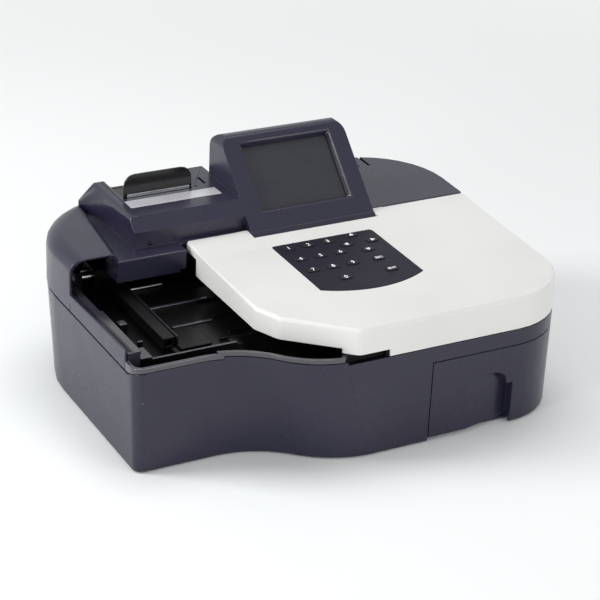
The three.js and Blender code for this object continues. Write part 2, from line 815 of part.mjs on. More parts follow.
function upperHousing() {
  const hingeBeam = box(tower.left, towerRight, hinge.y - hinge.beamFront, lidBayRear + wall,
    hinge.z - hinge.beamDrop, ledgeHeight + wall);
  const outer = join(
    cut(
      shoulderShell(0),
      overDeck(0),
      box(left - overcut, right + overcut, coverFront - 2 * overcut, coverFront, 0, towerHeight),
      box(bridgeRight, right + overcut, coverFront - overcut, lidBayRear, 0, towerHeight),
      shoulderValley(0),
    ),
    printerBlock(0),
    displayTower(0),
  );
  const bridgeWall = join(
    box(bridgeLeft, bridgeRight + overcut, coverFront - overcut, coverFront + wall, 0, shoulderHeight),
    box(bridgeLeft, bridgeLeft + wall, coverFront - overcut, coverFront + bridgeReturn, 0, shoulderHeight),
    box(bridgeRight, right + overcut, coverFront - overcut, lidBayRear + wall, 0, shoulderHeight),
    shoulderValley(wall),
  );
  const cavity = join(
    cut(shoulderShell(wall), overDeck(wall), bridgeWall),
    printerBlock(wall),
    displayTower(wall),
  );
  const hollowed = cut(
    outer,
    cavity,
    box(bridgeLeft - overcut, bridgeRight, coverFront - overcut, coverFront + bridgeReturn + overcut, 0, bridgeBottom),
    box(bridgeRight - overcut, right - wall, coverFront - overcut, lidBayRear + wall + overlap, 0, bridgeBottom + wall),
  );
  const sideWall = outlineShell(0, wall, partingHeight - overcut, shoulderHeight).intersect(solid(prismX([
    [bandFront, 0],
    [coverFront + wall, 0],
    [coverFront + wall, bandWallRear],
    [bandFront, bandWallFront],
  ], left, left + bandWidth)));
  const frame = screenPlate(screen.frame, wall - overlap, screen.depth);
  const slitBottom = deckTop(deckSlit.front) - deckSlit.depth;
  const marks = [
    box(deckSlit.x, deckSlit.x + deckSlit.width, deckSlit.front, rear - wall, slitBottom, shoulderHeight),
    solid(rodZ(slitBottom, shoulderHeight, deckSlit.x + deckSlit.markX, deckSlit.front + wall,
      deckSlit.markRadius, 12)),
    box(blockLeft + blockGroove.in, blockLeft + blockGroove.in + blockGroove.width,
      bridgeFront + blockStrip.depth, blockRear - wall, blockHeight - blockGroove.depth, blockHeight + overcut),
    box(blockSlit.x, blockSlit.x + deckSlit.width, blockSlit.front, blockSlit.front + blockSlit.length,
      blockHeight - deckSlit.depth, blockHeight + overcut),
    solid(rodZ(blockHeight - deckSlit.depth, blockHeight + overcut,
      blockSlit.x + deckSlit.markX, blockSlit.front - wall, deckSlit.markRadius, 12)),
  ];
  return cut(
    join(hollowed, hingeBeam, frame, sideWall).intersect(aboveParting(seat)),
    screenFunnel,
    box(backOpening.left, backOpening.right, tower.rear - wall - overcut, tower.rear + overcut,
      backOpening.bottom, backOpening.top),
    box(bay.left, bayRight, bay.front, bay.rear, blockHeight - wall - overcut, blockHeight + overcut),
    box(bay.left, bayRight, bay.rear - overlap, blockRear + overcut, blockHeight - bay.rearDrop,
      blockHeight + overcut),
    box(strip.left - seat, strip.left + strip.width + seat, strip.front - seat, strip.front + strip.depth + seat,
      blockHeight - strip.recess, blockHeight + overcut),
    solid(rodY(bridgeFront - overcut, bridgeFront + wall + overcut, led.x, led.z, led.radius + seat, 16)),
    ...hingePins.map(([, x0, x1]) => solid(rodX(x0 - seat, x1 + seat, hinge.y, hinge.z, hinge.pin + seat))),
    ...marks,
  );
}

add('upper_housing', upperHousing(), finishes.navy);

// Back cover of the tower, with a row of air slots
function backCover() {
  const slots = steps(6).map((share) => {
    const x = mix(backOpening.left + 3 * wall, backOpening.right - 4 * wall, share);
    return box(x, x + wall, tower.rear - 2 * wall, tower.rear + overcut,
      backOpening.bottom + 3 * wall, backOpening.top - 3 * wall);
  });
  return cut(
    box(backOpening.left + seat, backOpening.right - seat, tower.rear - wall, tower.rear,
      backOpening.bottom + seat, backOpening.top - seat),
    ...slots,
  );
}

add('display_back_cover', backCover(), finishes.navy);
add('display_window', screenPlate(screen.frame - seat, screen.depth + seat, screen.depth + seat + screen.glass),
  finishes.glass);
const moduleFront = screen.depth + 2 * seat + screen.glass;
add('display_module', screenPlate(screen.frame - screen.margin, moduleFront, moduleFront + screen.module),
  finishes.grey);

for (const [name, x0, x1] of hingePins) {
  add(name, rodX(x0, x1, hinge.y, hinge.z, hinge.pin), finishes.steel);
}

// Name strip, left bare, and the power light
add('name_strip', box(strip.left, strip.left + strip.width, strip.front, strip.front + strip.depth,
  blockHeight - strip.recess + seat, blockHeight + strip.proud), finishes.silver);
add('power_light', rodY(bridgeFront - led.proud, bridgeFront - led.proud + led.length, led.x, led.z, led.radius, 16),
  finishes.glass);

// Lid: its crown is a profile in side view, and its walls follow the body's right front corner

const crownProfile = [
  [front, deckHeight - lid.frontDrop],
  [lid.creaseFront, deckHeight - lid.creaseFrontDrop],
  [lid.creaseRear, deckHeight - lid.creaseRearDrop],
  [lid.rear, deckHeight + lid.backProud],
];

function crown(y) {
  const last = crownProfile.length - 2;
  const i = Math.min(last, Math.max(0, crownProfile.findLastIndex(([start]) => y >= start)));
  const [[y0, z0], [y1, z1]] = [crownProfile[i], crownProfile[i + 1]];
  return mix(z0, z1, (y - y0) / (y1 - y0));
}

const lidCorners = [
  [lid.left, lid.rear + overcut, 0],
  [lid.left, lid.shoulder, lid.shoulderRadius],
  [lid.left + lid.elbowIn, lid.elbow, lid.elbowRadius],
  [lid.left + lid.noseIn, front, lid.noseRadius],
  [sideAt(front), front, frontRightRadius],
  [sideAt(lid.rear + overcut), lid.rear + overcut, 0],
];

// A lid-shaped solid whose upper edge is rounded where the walls meet the crown
function lidBody(inset) {
  const radius = lid.radius - inset / 2;
  const levels = [0, 25, 50, 75].map((degrees) => THREE.MathUtils.degToRad(degrees));
  const round = levels.map((angle) => ({
    points: roundedPolygon(lidCorners, inset + radius * (1 - Math.cos(angle)), cornerSteps),
    z: (y) => crown(y) - inset - radius * (1 - Math.sin(angle)),
  }));
  const walls = solid(stack([
    { points: roundedPolygon(lidCorners, inset, cornerSteps), z: 0 },
    ...round,
    { points: roundedPolygon(lidCorners, inset + radius, cornerSteps), z: (y) => crown(y) + radius },
  ]));
  const roof = solid(prismX([
    [lid.rear - inset, 0],
    [lid.rear - inset, crown(lid.rear) - inset],
    ...crownProfile.slice(1, -1).reverse().map(([y, z]) => [y, z - inset]),
    [front - overcut, crown(front - overcut) - inset],
    [front - overcut, 0],
  ], left - overcut, right + overcut));
  return walls.intersect(roof);
}

// The keypad's place on the crown: x to the right, y up the slope to the back, z out of the lid
const padSlope = Math.atan2(crownProfile[2][1] - crownProfile[1][1], crownProfile[2][0] - crownProfile[1][0]);
const padPlace = new THREE.Matrix4()
  .makeRotationX(padSlope)
  .setPosition(pad.left, pad.rear, crown(pad.rear));

// Keypad outline: square at the back, with a bulging front edge
function padOutline(grow) {
  const half = pad.width / 2;
  const bulgeRadius = (half * half + pad.bulge * pad.bulge) / (2 * pad.bulge);
  const angle = Math.asin(half / bulgeRadius);
  const centre = [half, -pad.depth - pad.bulge + bulgeRadius];
  const from = -Math.PI / 2 - angle;
  const bow = arc(centre[0], centre[1], bulgeRadius, from, from + 2 * angle, 2 * cornerSteps);
  const corners = [
    [pad.width, 0, pad.corner],
    [0, 0, pad.corner],
    ...bow.map(([x, y]) => [x, y, 0]),
  ];
  return roundedPolygon(corners, -grow);
}

const pinEars = hingePins.map(([, x0, x1], i) => {
  const start = i === 0 ? tower.left - lidRun - hinge.earLength : towerRight + lidRun;
  return { start, bore: [x0 - seat, x1 + seat] };
});

function lidShell() {
  const top = towerHeight;
  const roof = solid(prismX([
    [lid.rear + overcut, 0],
    ...[...crownProfile].reverse(),
    [front, 0],
  ], left, right));
  const ears = pinEars.map(({ start }) => join(
    solid(rodX(start, start + hinge.earLength, hinge.y, hinge.z, hinge.ear)),
    box(start, start + hinge.earLength, hinge.y - 2 * hinge.ear, hinge.y, hinge.z - hinge.ear, hinge.z + hinge.ear),
  ).intersect(roof));
  const shell = cut(
    lidBody(0),
    lidBody(wall),
    box(lid.left - overcut, notch.left, front - overcut, lid.rear + overcut, 0, lid.leftEdge),
    box(notch.left - overlap, notch.left + notch.width, front - overcut, front + 2 * notch.deep,
      0, partingHeight + notch.height + seat),
    box(lid.left - overcut, sideAt(lid.rear) - 2 * wall, lid.rear - wall - overlap, lid.rear + overcut,
      0, deckHeight - lid.flange),
    box(lid.left - overcut, lid.left + 2 * wall, coverFront - lid.heel, lid.rear + overcut,
      0, deckHeight - lid.flange),
    box(tower.left - lidRun, towerRight + lidRun, towerToe - lidRun, lid.rear + overcut, 0, top),
  );
  return cut(
    join(shell, ...ears).intersect(aboveParting(lidRun)),
    ...pinEars.map(({ bore }) => solid(rodX(bore[0], bore[1], hinge.y, hinge.z, hinge.pin + seat))),
    solid(prismZ(padOutline(seat), -pad.pocket, overcut), padPlace),
    solid(prismZ(padOutline(-pad.ledge), -overcut, overcut), padPlace),
  );
}

add('lid', lidShell(), finishes.white);

// Keypad: panel, sixteen keys and the board under them

const keypad = new THREE.Group();
keypad.applyMatrix4(padPlace);
analyzer.add(keypad);

const row = (i) => -keyFirst.y - i * key.pitchY;
const column = (i) => keyFirst.x + i * key.pitchX;
const keyPlaces = [
  ...Array.from({ length: 9 }, (_, i) => [`key_${i + 1}`, column(i % 3), row(Math.floor(i / 3))]),
  ['key_0', column(1), row(3)],
  ['key_up', arrows.x, -arrows.y + arrows.reachY],
  ['key_down', arrows.x, -arrows.y - arrows.reachY],
  ['key_left', arrows.x - arrows.reachX, -arrows.y],
  ['key_right', arrows.x + arrows.reachX, -arrows.y],
  ['key_esc', arrows.x, row(2)],
  ['key_ent', arrows.x, row(3)],
];

function keyOutline(grow) {
  const radius = key.depth / 2;
  const corners = rectangle(-key.width / 2, key.width / 2, -radius, radius, radius * 0.98);
  return roundedPolygon(corners, -grow, 4);
}

const panelTop = pad.thickness - pad.pocket + seat;
const keyHoles = keyPlaces.map(([, x, y]) => (
  solid(prismZ(keyOutline(seat), -overcut, overcut).translate(x, y, 0))));
add('keypad_panel', cut(solid(prismZ(padOutline(0), seat - pad.pocket, panelTop)), ...keyHoles),
  finishes.panel, keypad);

const keyTop = panelTop + key.proud;
const flangeTop = -pad.pocket;
const keyShape = toGeometry(join(
  solid(stack([
    { points: keyOutline(0), z: flangeTop - key.flangeHeight },
    { points: keyOutline(0), z: keyTop - key.proud / 2 },
    { points: keyOutline(-key.proud / 2), z: keyTop },
  ])),
  solid(prismZ(keyOutline(key.flange), flangeTop - key.flangeHeight, flangeTop)),
));
for (const [name, x, y] of keyPlaces) {
  add(name, keyShape, finishes.keycap, keypad).position.set(x, y, 0);
}
add('keypad_board', solid(prismZ(padOutline(-seat), -wall - seat - pad.board, -wall - seat)), finishes.circuit, keypad);

// Strip tray: a bed with a low wall round its left front, ribs that carry the strips, and the rod brackets

const bracketPlaces = [guide.start, guide.end - bracket.width];

function trayBed() {
  const plate = bodySolid(wall + tray.clear, tray.top - tray.thickness, tray.top)
    .intersect(box(left, tray.right, front, tray.rear, 0, shoulderHeight));
  const wallLeft = left + tray.frontWallLeft;
  const low = tray.top - overlap;
  const high = tray.top + tray.wallHeight;
  const walls = [
    box(wallLeft, wallLeft + tray.frontWallLength, tray.frontWall, tray.frontWall + tray.wallThickness, low, high),
    box(wallLeft, wallLeft + tray.wallThickness, tray.frontWall, guide.y - bracket.depth, low, high),
  ];
  const ribs = steps(tray.ribs - 1).map((share) => {
    const y = tray.frontWall + tray.ribPitch * (share * (tray.ribs - 1) + 1);
    return box(tray.ribLeft, tray.right, y, y + tray.ribWidth, low, tray.top + tray.ribHeight);
  });
  const forms = trayForms.map(({ x, width, y, depth, height }) => (
    box(x, x + width, y, y + depth, low, tray.top + height)));
  const bearing = (guide.y + screw.y) / 2;
  const brackets = bracketPlaces.map((x) => cut(
    box(x, x + bracket.width, bearing - bracket.depth / 2, bearing + bracket.depth / 2, low, tray.top + bracket.height),
    solid(rodX(x - overcut, x + bracket.width + overcut, guide.y, guide.z, guide.radius + seat)),
    solid(rodX(x - overcut, x + bracket.width + overcut, screw.y, guide.z, screw.radius + seat)),
  ));
  const headPosts = [head.rodFront, head.rodRear - head.postDepth].map((y) => cut(
    box(head.rodX - head.postWidth / 2, head.rodX + head.postWidth / 2, y, y + head.postDepth,
      low, head.bottom + head.height),
    solid(rodY(y - overcut, y + head.postDepth + overcut, head.rodX, guide.z, head.rodRadius + seat)),
  ));
  return join(plate, ...walls, ...ribs, ...forms, ...brackets, ...headPosts);
}

add('tray_bed', trayBed(), finishes.black);

// Black surround: a ledge along the left side, a lip over the front joint and a strip along the waist
function traySurround() {
  const low = tray.top + seat;
  const inner = left + wall + seat;
  const ledgeRight = left + bandWidth;
  const stripEnd = notch.left - wall - seat;
  const ledge = solid(prismY(roundedPolygon([
    [inner, low, 0],
    [ledgeRight, low, 0],
    [ledgeRight, bandHeight, surround.edge],
    [inner, bandHeight, surround.edge / 2],
  ]), bandFront + seat, coverFront + bridgeReturn));
  const wallRear = bandFront + 2 * wall;
  const lip = outlineShell(0, lipWidth, partingHeight - overcut, lipHeight)
    .intersect(box(left, lipEnd - seat, front, bandFront - seat, 0, lipHeight + overcut))
    .intersect(aboveParting(seat));
  const upright = outlineShell(wall + seat, surround.inset, low, lipHeight - surround.edge)
    .intersect(box(left, stripEnd, front, wallRear, 0, shoulderHeight));
  const waist = outlineShell(0, lipWidth, waistRimHeight + slack, waistStrip.top)
    .intersect(box(waistStrip.start, stripEnd, front, wallRear, 0, shoulderHeight));
  return cut(
    join(
      ledge,
      box(left + surround.padLeft, ledgeRight + surround.padOver, bandFront + slack, surround.padRear,
        bandHeight - wall, bandHeight + surround.padHeight),
      lip,
      upright,
      waist,
    ),
    box(left + surround.groove, left + surround.groove + surround.grooveWidth, bandFront + wall, rear,
      bandHeight - surround.grooveDepth, bandHeight + overcut),
  );
}

add('tray_surround', traySurround(), finishes.black);
add('guide_rod', rodX(guide.start, guide.end, guide.y, guide.z, guide.radius), finishes.steel);
add('drive_screw', rodX(guide.start, guide.end + motor.boss, screw.y, guide.z, screw.radius), finishes.steel);

function driveMotor() {
  const start = guide.end + slack;
  return cut(
    join(
      box(start + motor.bossLength, start + motor.bossLength + motor.length,
        screw.y - motor.width / 2, screw.y + motor.width / 2, tray.top + seat, tray.top + seat + motor.width),
      solid(rodX(start, start + motor.bossLength + overlap, screw.y, guide.z, motor.boss)),
    ),
    solid(rodX(start - overcut, guide.end + motor.boss + seat, screw.y, guide.z, screw.radius + seat)),
  );
}

add('drive_motor', driveMotor(), finishes.grey);

// Strip pusher: a bar across the tray, on a carriage behind it, with a thin blade on its leading side
function stripPusher() {
  const right0 = pusher.left + pusher.width;
  const middle = pusher.left + pusher.width / 2;
  const high = pusher.bottom + pusher.height;
  const socketZ = pusher.bottom + pusher.height / 2;
  const carriageRear = pusher.carriageFront + pusher.carriageDepth;
  const carriageLeft = middle - pusher.carriageWidth / 2;
  return cut(
    join(
      box(pusher.left, right0, pusher.front, pusher.carriageFront + overlap, pusher.bottom, high),
      box(carriageLeft, carriageLeft + pusher.carriageWidth, pusher.carriageFront, carriageRear,
        pusher.bottom, pusher.bottom + pusher.carriageHeight),
    ),
    box(middle - pusher.socket / 2, middle + pusher.socket / 2, pusher.front - overcut,
      pusher.front + pusher.socketDepth, socketZ - pusher.socket / 2, socketZ + pusher.socket / 2),
    solid(rodX(carriageLeft - overcut, right0 + pusher.carriageWidth, guide.y, guide.z, guide.radius + seat)),
    solid(rodX(carriageLeft - overcut, right0 + pusher.carriageWidth, screw.y, guide.z, screw.radius + seat)),
  );
}

add('strip_pusher', stripPusher(), finishes.black);
const bladeLeft = pusher.left + pusher.width + seat;
add('pusher_blade', box(bladeLeft, bladeLeft + pusher.blade, pusher.front - 2 * pusher.bladeProud,
  pusher.carriageFront - seat, pusher.bottom, pusher.bottom + pusher.height + pusher.bladeProud), finishes.steel);

// Measuring head on its rod
function measuringHead() {
  const high = head.bottom + head.height;
  const middle = head.front + head.depth / 2;
  return cut(
    box(head.left, head.left + head.width, head.front, head.front + head.depth, head.bottom, high),
    solid(rodY(head.front - overcut, head.front + head.depth + overcut, head.rodX, guide.z, head.rodRadius + seat)),
    box(head.left + head.windowWidth, head.left + 2 * head.windowWidth, middle - head.windowLength / 2,
      middle + head.windowLength / 2, head.bottom - overcut, head.bottom + head.windowDepth),
  );
}

add('measuring_head', measuringHead(), finishes.grey);
add('head_rod', rodY(head.rodFront, head.rodRear, head.rodX, guide.z, head.rodRadius), finishes.steel);

// Waste drawer: a skin in the body's outline, a tub, and a finger scoop that deepens to the right

const drawerRear = drawer.rear - slack;
const drawerLeft = drawer.left + slack;

function wasteDrawer() {
  const room = join(
    box(drawerLeft, right + overcut, front - overcut, drawerRear, drawer.bottom, drawer.top),
    box(drawer.skirtLeft, right + overcut, front - overcut, drawerRear, drawer.skirtBottom, drawer.top),
  );
  const skin = outlineShell(0, wall, 0, shoulderHeight).intersect(room);
  const inside = bodySolid(wall - overlap, -overcut, shoulderHeight + overcut);
  const tub = join(
    box(drawerLeft, right + overcut, front, drawerRear, drawer.bottom, drawer.bottom + drawer.tubWall),
    box(drawerLeft, drawerLeft + drawer.tubWall, front, drawerRear, drawer.bottom, drawer.tubTop),
    box(drawerLeft, right + overcut, drawerRear - drawer.tubWall, drawerRear, drawer.bottom, drawer.tubTop),
  ).intersect(inside);
  const gripWall = drawer.gripDepth + wall;
  const pocket = box(drawer.gripLeft, drawer.gripRight + wall, front + wall - overlap, front + gripWall,
    drawer.bottom, drawer.gripTop + wall);
  const wedge = solid(prismZ([
    [drawer.gripLeft, front - overlap],
    [drawer.gripLeft, front - overcut],
    [drawer.gripRight, front - overcut],
    [drawer.gripRight, front + drawer.gripDepth],
  ], -overcut, drawer.top));
  const span = drawer.gripRight - drawer.gripLeft;
  const arch = solid(prismY([
    [drawer.gripLeft - overcut, -overcut],
    [drawer.gripRight + overcut, -overcut],
    [drawer.gripRight + overcut, drawer.gripShoulder],
    [drawer.gripRight - span / 8, drawer.gripShoulder],
    ...arc(drawer.gripLeft + span / 2, drawer.gripShoulder, drawer.gripTop - drawer.gripShoulder,
      Math.PI / 5, Math.PI, 8).map(([x, z]) => [mix(drawer.gripLeft + span / 2, x, 1.5), z]),
    [drawer.gripLeft - overcut, drawer.gripShoulder],
  ], front - overcut, front + gripWall));
  return cut(join(skin, tub, pocket), wedge.intersect(arch));
}

add('waste_drawer', wasteDrawer(), finishes.navy);

function wasteLiner() {
  const x0 = drawerLeft + liner.left;
  const y0 = front + liner.front;
  const y1 = drawerRear - liner.left;
  const z0 = drawer.bottom + drawer.tubWall + seat;
  const outline = rectangle(x0, x0 + liner.width, y0, y1, liner.corner);
  return cut(
    solid(prismZ(roundedPolygon(outline), z0, drawer.tubTop - liner.rimDrop)),
    solid(prismZ(roundedPolygon(outline, liner.wall), z0 + liner.wall, drawer.tubTop)),
  );
}

add('waste_liner', wasteLiner(), finishes.grey);

// Inner deck over the drawer bay, with the chute through which used strips fall
function innerDeck() {
  const plate = bodySolid(wall + tray.clear, tray.top - tray.thickness, tray.top)
    .intersect(box(tray.right + seat, right + overcut, front, lidBayRear, 0, shoulderHeight));
  const x0 = tray.right + chute.left;
  const y0 = front + chute.front;
  const y1 = drawer.rear - chute.rear;
  const low = tray.top - chute.drop;
  return cut(
    join(plate, box(x0 - chute.wall, x0 + chute.width + chute.wall, y0 - chute.wall, y1 + chute.wall, low, tray.top)),
    box(x0, x0 + chute.width, y0, y1, low - overcut, tray.top + overcut),
  );
}

add('inner_deck', innerDeck(), finishes.black);

// Printer under the block: frame, paper roll, platen roller and print head

const frameLeft = bay.left - printer.wall;
const frameRight = bayRight + printer.wall;
const platenY = bay.front - platen.setBack;
const platenZ = blockHeight - platen.drop;
const rollY = bay.rear - seat - printer.wall - slack - paper.radius;
const rollZ = printer.floor + printer.wall + slack + paper.radius;
const coverHinge = { y: bay.rear - slack - cover.hinge, z: blockHeight - cover.drop + cover.plate / 2 };

function printerFrame() {
  const y0 = bay.front - printer.front;
  const y1 = bay.rear - seat;
  const high = blockHeight - wall - seat;
  const rearHigh = blockHeight - bay.rearDrop - seat;
  return cut(
    join(
      box(frameLeft, frameRight, y0, y1, printer.floor, high),
      box(frameLeft - printer.flange, frameRight + printer.flange, y0, y1, high - printer.wall, high),
    ),
    box(frameLeft + printer.wall, frameRight - printer.wall, y0 + printer.wall, y1 - printer.wall,
      printer.floor + printer.wall, blockHeight),
    box(bay.left, bayRight, y1 - printer.wall - overlap, y1 + overcut, rearHigh, blockHeight),
    solid(rodX(frameLeft - overcut, frameRight + overcut, platenY, platenZ, platen.shaft + seat)),
    solid(rodX(frameLeft - overcut, frameRight + overcut, coverHinge.y, coverHinge.z, cover.pin + seat)),
  );
}

add('printer_frame', printerFrame(), finishes.black);
const bayMiddle = bay.left + bay.width / 2;
add('paper_roll', cut(
  solid(rodX(bayMiddle - paper.width / 2, bayMiddle + paper.width / 2, rollY, rollZ, paper.radius, 32)),
  solid(rodX(bayMiddle - paper.width, bayMiddle + paper.width, rollY, rollZ, paper.core)),
), finishes.paper);
add('platen_roller', join(
  solid(rodX(bayMiddle - platen.width / 2, bayMiddle + platen.width / 2, platenY, platenZ, platen.radius)),
  solid(rodX(frameLeft, frameRight, platenY, platenZ, platen.shaft)),
), finishes.rubber);
const headBack = platenY - platen.radius - printHead.gap;
add('print_head', box(bayMiddle - platen.width / 2, bayMiddle + platen.width / 2, headBack - printHead.thickness,
  headBack, platenZ - printHead.height + platen.radius, platenZ + platen.radius), finishes.grey);

// Smoked paper cover: a hinged plate behind the slot, with an upright visor at its front
function paperCover() {
  const x0 = bay.left + slack;
  const x1 = bayRight - slack;
  const low = blockHeight - cover.drop;
  const y0 = bay.front + slack;
  const high = blockHeight + cover.visorHeight;
  const visor = solid(prismY(roundedPolygon([
    [x0, low, 0],
    [x1, low, 0],
    [x1, high, cover.visorRadius],
    [x0, high, cover.visorRadius],
  ]), y0, y0 + cover.plate));
  return join(
    box(x0, x1, y0 + overlap, coverHinge.y, low, low + cover.plate),
    solid(rodX(x0, x1, coverHinge.y, coverHinge.z, cover.hinge)),
    solid(rodX(frameLeft, frameRight, coverHinge.y, coverHinge.z, cover.pin)),
    visor,
  );
}

add('paper_cover', paperCover(), finishes.smoke);
add('tear_bar', box(bay.left + tearBar.margin, bayRight - tearBar.margin, bay.front + slack - seat - tearBar.thickness,
  bay.front + slack - seat, blockHeight + seat, blockHeight + seat + tearBar.height), finishes.steel);

// Electronics on the floor of the lower housing
const boardZ = floorTop + board.lift + seat;
add('main_board', block(board.left, board.left + board.width, board.front, board.front + board.depth,
  boardZ, boardZ + board.thickness), finishes.circuit);
add('power_supply', block(supply.left, supply.left + supply.width, supply.front, supply.front + supply.depth,
  floorTop + seat, floorTop + seat + supply.height), finishes.silver);

// Rear sockets: mains inlet, rocker switch and serial socket
function socket({ x, z = inlet.z, width, height, depth, flange, flangeThickness, cavity }) {
  const y = rear + seat;
  return cut(
    join(
      box(x - width / 2, x + width / 2, y - depth, y + overlap, z - height / 2, z + height / 2),
      box(x - width / 2 - flange, x + width / 2 + flange, y, y + flangeThickness,
        z - height / 2 - flange / 2, z + height / 2 + flange / 2),
    ),
    box(x - width / 2 + wall, x + width / 2 - wall, y + flangeThickness - cavity, y + overcut,
      z - height / 2 + wall, z + height / 2 - wall),
  );
}

add('power_inlet', socket(inlet), finishes.black);
add('serial_port', socket(serial), finishes.silver);

function rockerSwitch() {
  const halfHeight = rocker.height / 2;
  const y = rear - wall / 2;
  const lean = halfHeight * rocker.tiltShare;
  const pinReach = (rocker.width + rocker.frame + rocker.gap) / 2;
  const pins = solid(rodX(rocker.x - pinReach, rocker.x + pinReach, y, inlet.z, rocker.pin, 16));
  return join(pins, solid(prismX([
    [y - rocker.depth, inlet.z - halfHeight / 2],
    [y, inlet.z - halfHeight],
    [y + rocker.proud + lean, inlet.z - halfHeight],
    [y + rocker.proud, inlet.z],
    [y + rocker.proud - lean, inlet.z + halfHeight],
    [y, inlet.z + halfHeight],
    [y - rocker.depth, inlet.z + halfHeight / 2],
  ], rocker.x - rocker.width / 2, rocker.x + rocker.width / 2)));
}

add('power_switch', rockerSwitch(), finishes.black);

function ring(grow) {
  const halfWidth = rocker.width / 2 + grow;
  const halfHeight = rocker.height / 2 + grow;
  return [rocker.x - halfWidth, rocker.x + halfWidth, inlet.z - halfHeight, inlet.z + halfHeight];
}

function switchFrame() {
  const plate = ([x0, x1, z0, z1], y0, y1) => box(x0, x1, y0, y1, z0, z1);
  const y = rear + seat;
  return cut(
    join(
      plate(ring(rocker.frame), y - wall - 2 * seat, y + overlap),
      plate(ring(rocker.frame + rocker.flange), y, y + rocker.flangeThickness),
    ),
    plate(ring(rocker.gap), y - overcut, y + overcut),
    solid(rodX(rocker.x - rocker.width, rocker.x + rocker.width, rear - wall / 2, inlet.z, rocker.pin + seat, 16)),
  );
}

add('switch_frame', switchFrame(), finishes.black);

export default analyzer;
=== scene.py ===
# Looks of the urine analyzer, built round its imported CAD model. Metres, +Z up, the same frame as the CAD.
import json
from math import cos, pi, radians, sin

import bpy
from mathutils import Matrix, Vector
from mathutils.kdtree import KDTree

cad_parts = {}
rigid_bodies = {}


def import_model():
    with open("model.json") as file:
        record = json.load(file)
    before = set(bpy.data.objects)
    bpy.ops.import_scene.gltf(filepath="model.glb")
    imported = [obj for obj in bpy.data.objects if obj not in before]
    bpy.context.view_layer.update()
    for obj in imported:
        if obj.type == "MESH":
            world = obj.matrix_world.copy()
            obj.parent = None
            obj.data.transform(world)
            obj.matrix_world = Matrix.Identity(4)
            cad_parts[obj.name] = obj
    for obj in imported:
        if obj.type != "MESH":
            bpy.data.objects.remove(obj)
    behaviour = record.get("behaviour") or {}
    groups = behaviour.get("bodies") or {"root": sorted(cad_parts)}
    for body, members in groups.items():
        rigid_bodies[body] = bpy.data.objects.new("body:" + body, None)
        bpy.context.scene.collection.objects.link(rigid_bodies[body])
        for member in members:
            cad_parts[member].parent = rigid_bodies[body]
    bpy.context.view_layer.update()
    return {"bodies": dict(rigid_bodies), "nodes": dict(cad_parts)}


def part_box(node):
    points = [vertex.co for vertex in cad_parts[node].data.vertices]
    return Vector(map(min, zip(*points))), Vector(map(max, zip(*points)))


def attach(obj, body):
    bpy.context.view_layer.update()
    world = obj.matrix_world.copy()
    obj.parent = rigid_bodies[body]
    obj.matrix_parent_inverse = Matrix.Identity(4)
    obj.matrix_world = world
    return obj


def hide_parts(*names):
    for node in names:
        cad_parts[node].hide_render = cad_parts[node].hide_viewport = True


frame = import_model()
nodes = frame["nodes"]
MM = 0.001


# Places on the CAD pieces with painted shade (the slits, marks and lid notch) and with a painted highlight
# (the display's right reveal and the tray wall tops), and the flat top left out of the shade, as two
# opposite corners in millimetres

DECK_SLIT = ((147.3, 129.0, 118.0), (151.9, 160.0, 129.3))
DECK_MARK = ((137.0, 125.5, 120.0), (144.0, 131.0, 127.0))
BLOCK_SLIT = ((-38.2, 103.8, 147.0), (-33.6, 119.2, 149.7))
BLOCK_MARK = ((-48.0, 99.0, 147.0), (-41.0, 105.0, 149.7))
SLOTS = (DECK_SLIT, DECK_MARK, BLOCK_SLIT, BLOCK_MARK)
BLOCK_TOP = ((-300.0, -300.0, 149.2), (300.0, 300.0, 150.0))
DISPLAY_REVEAL = ((80.6, 48.0, 134.0), (84.6, 101.0, 187.0))
LID_NOTCH = ((-34.0, -156.4, 88.0), (9.0, -140.0, 96.0))
TRAY_WALL_TOPS = (89.2, 95.0)


def inside(place, low, high):
    """True where a place in millimetres lies between two corners."""
    return all(a < c < b for a, c, b in zip(low, place, high))


# Working with Blender's operators

def only(*pieces):
    """Selects these pieces and nothing else, and makes the first one active."""
    bpy.ops.object.select_all(action="DESELECT")
    for piece in pieces:
        piece.select_set(True)
    bpy.context.view_layer.objects.active = pieces[0]


def settle(piece):
    """Puts the piece's place, turn and scale into its mesh."""
    only(piece)
    bpy.ops.object.transform_apply(location=True, rotation=True, scale=True)
    return piece


def apply_all(piece):
    """Applies the piece's modifiers in their order."""
    only(piece)
    for modifier in list(piece.modifiers):
        bpy.ops.object.modifier_apply(modifier=modifier.name)


def finish(piece, name, body, material):
    """Names a piece, gives it its material and lets it ride on its body."""
    piece.name = name
    piece.data.name = name
    piece.data.materials.clear()
    piece.data.materials.append(material)
    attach(piece, body)
    return piece


# Rounded edges: each run of sharp edges is rounded as widely as the room beside it allows

SHARP = radians(32)
FOLD = radians(4)
STRAIGHT_ON = radians(40)
SMOOTH = radians(40)
SAMPLE = 1.2 * MM
LENGTH_SHARE = 0.12
EDGE_SHARE = 0.38
FOLD_SHARE = 0.45
NORMAL_WEIGHT = 60
SKIN_EDGE = 0.4 * MM


def edge_turns(mesh):
    """How far the surface turns at each edge, as an angle."""
    sides = [[] for _ in mesh.edges]
    for face in mesh.polygons:
        for loop in face.loop_indices:
            sides[mesh.loops[loop].edge_index].append(face.normal)
    return [pair[0].angle(pair[1], 0) if len(pair) == 2 else 0 for pair in sides]


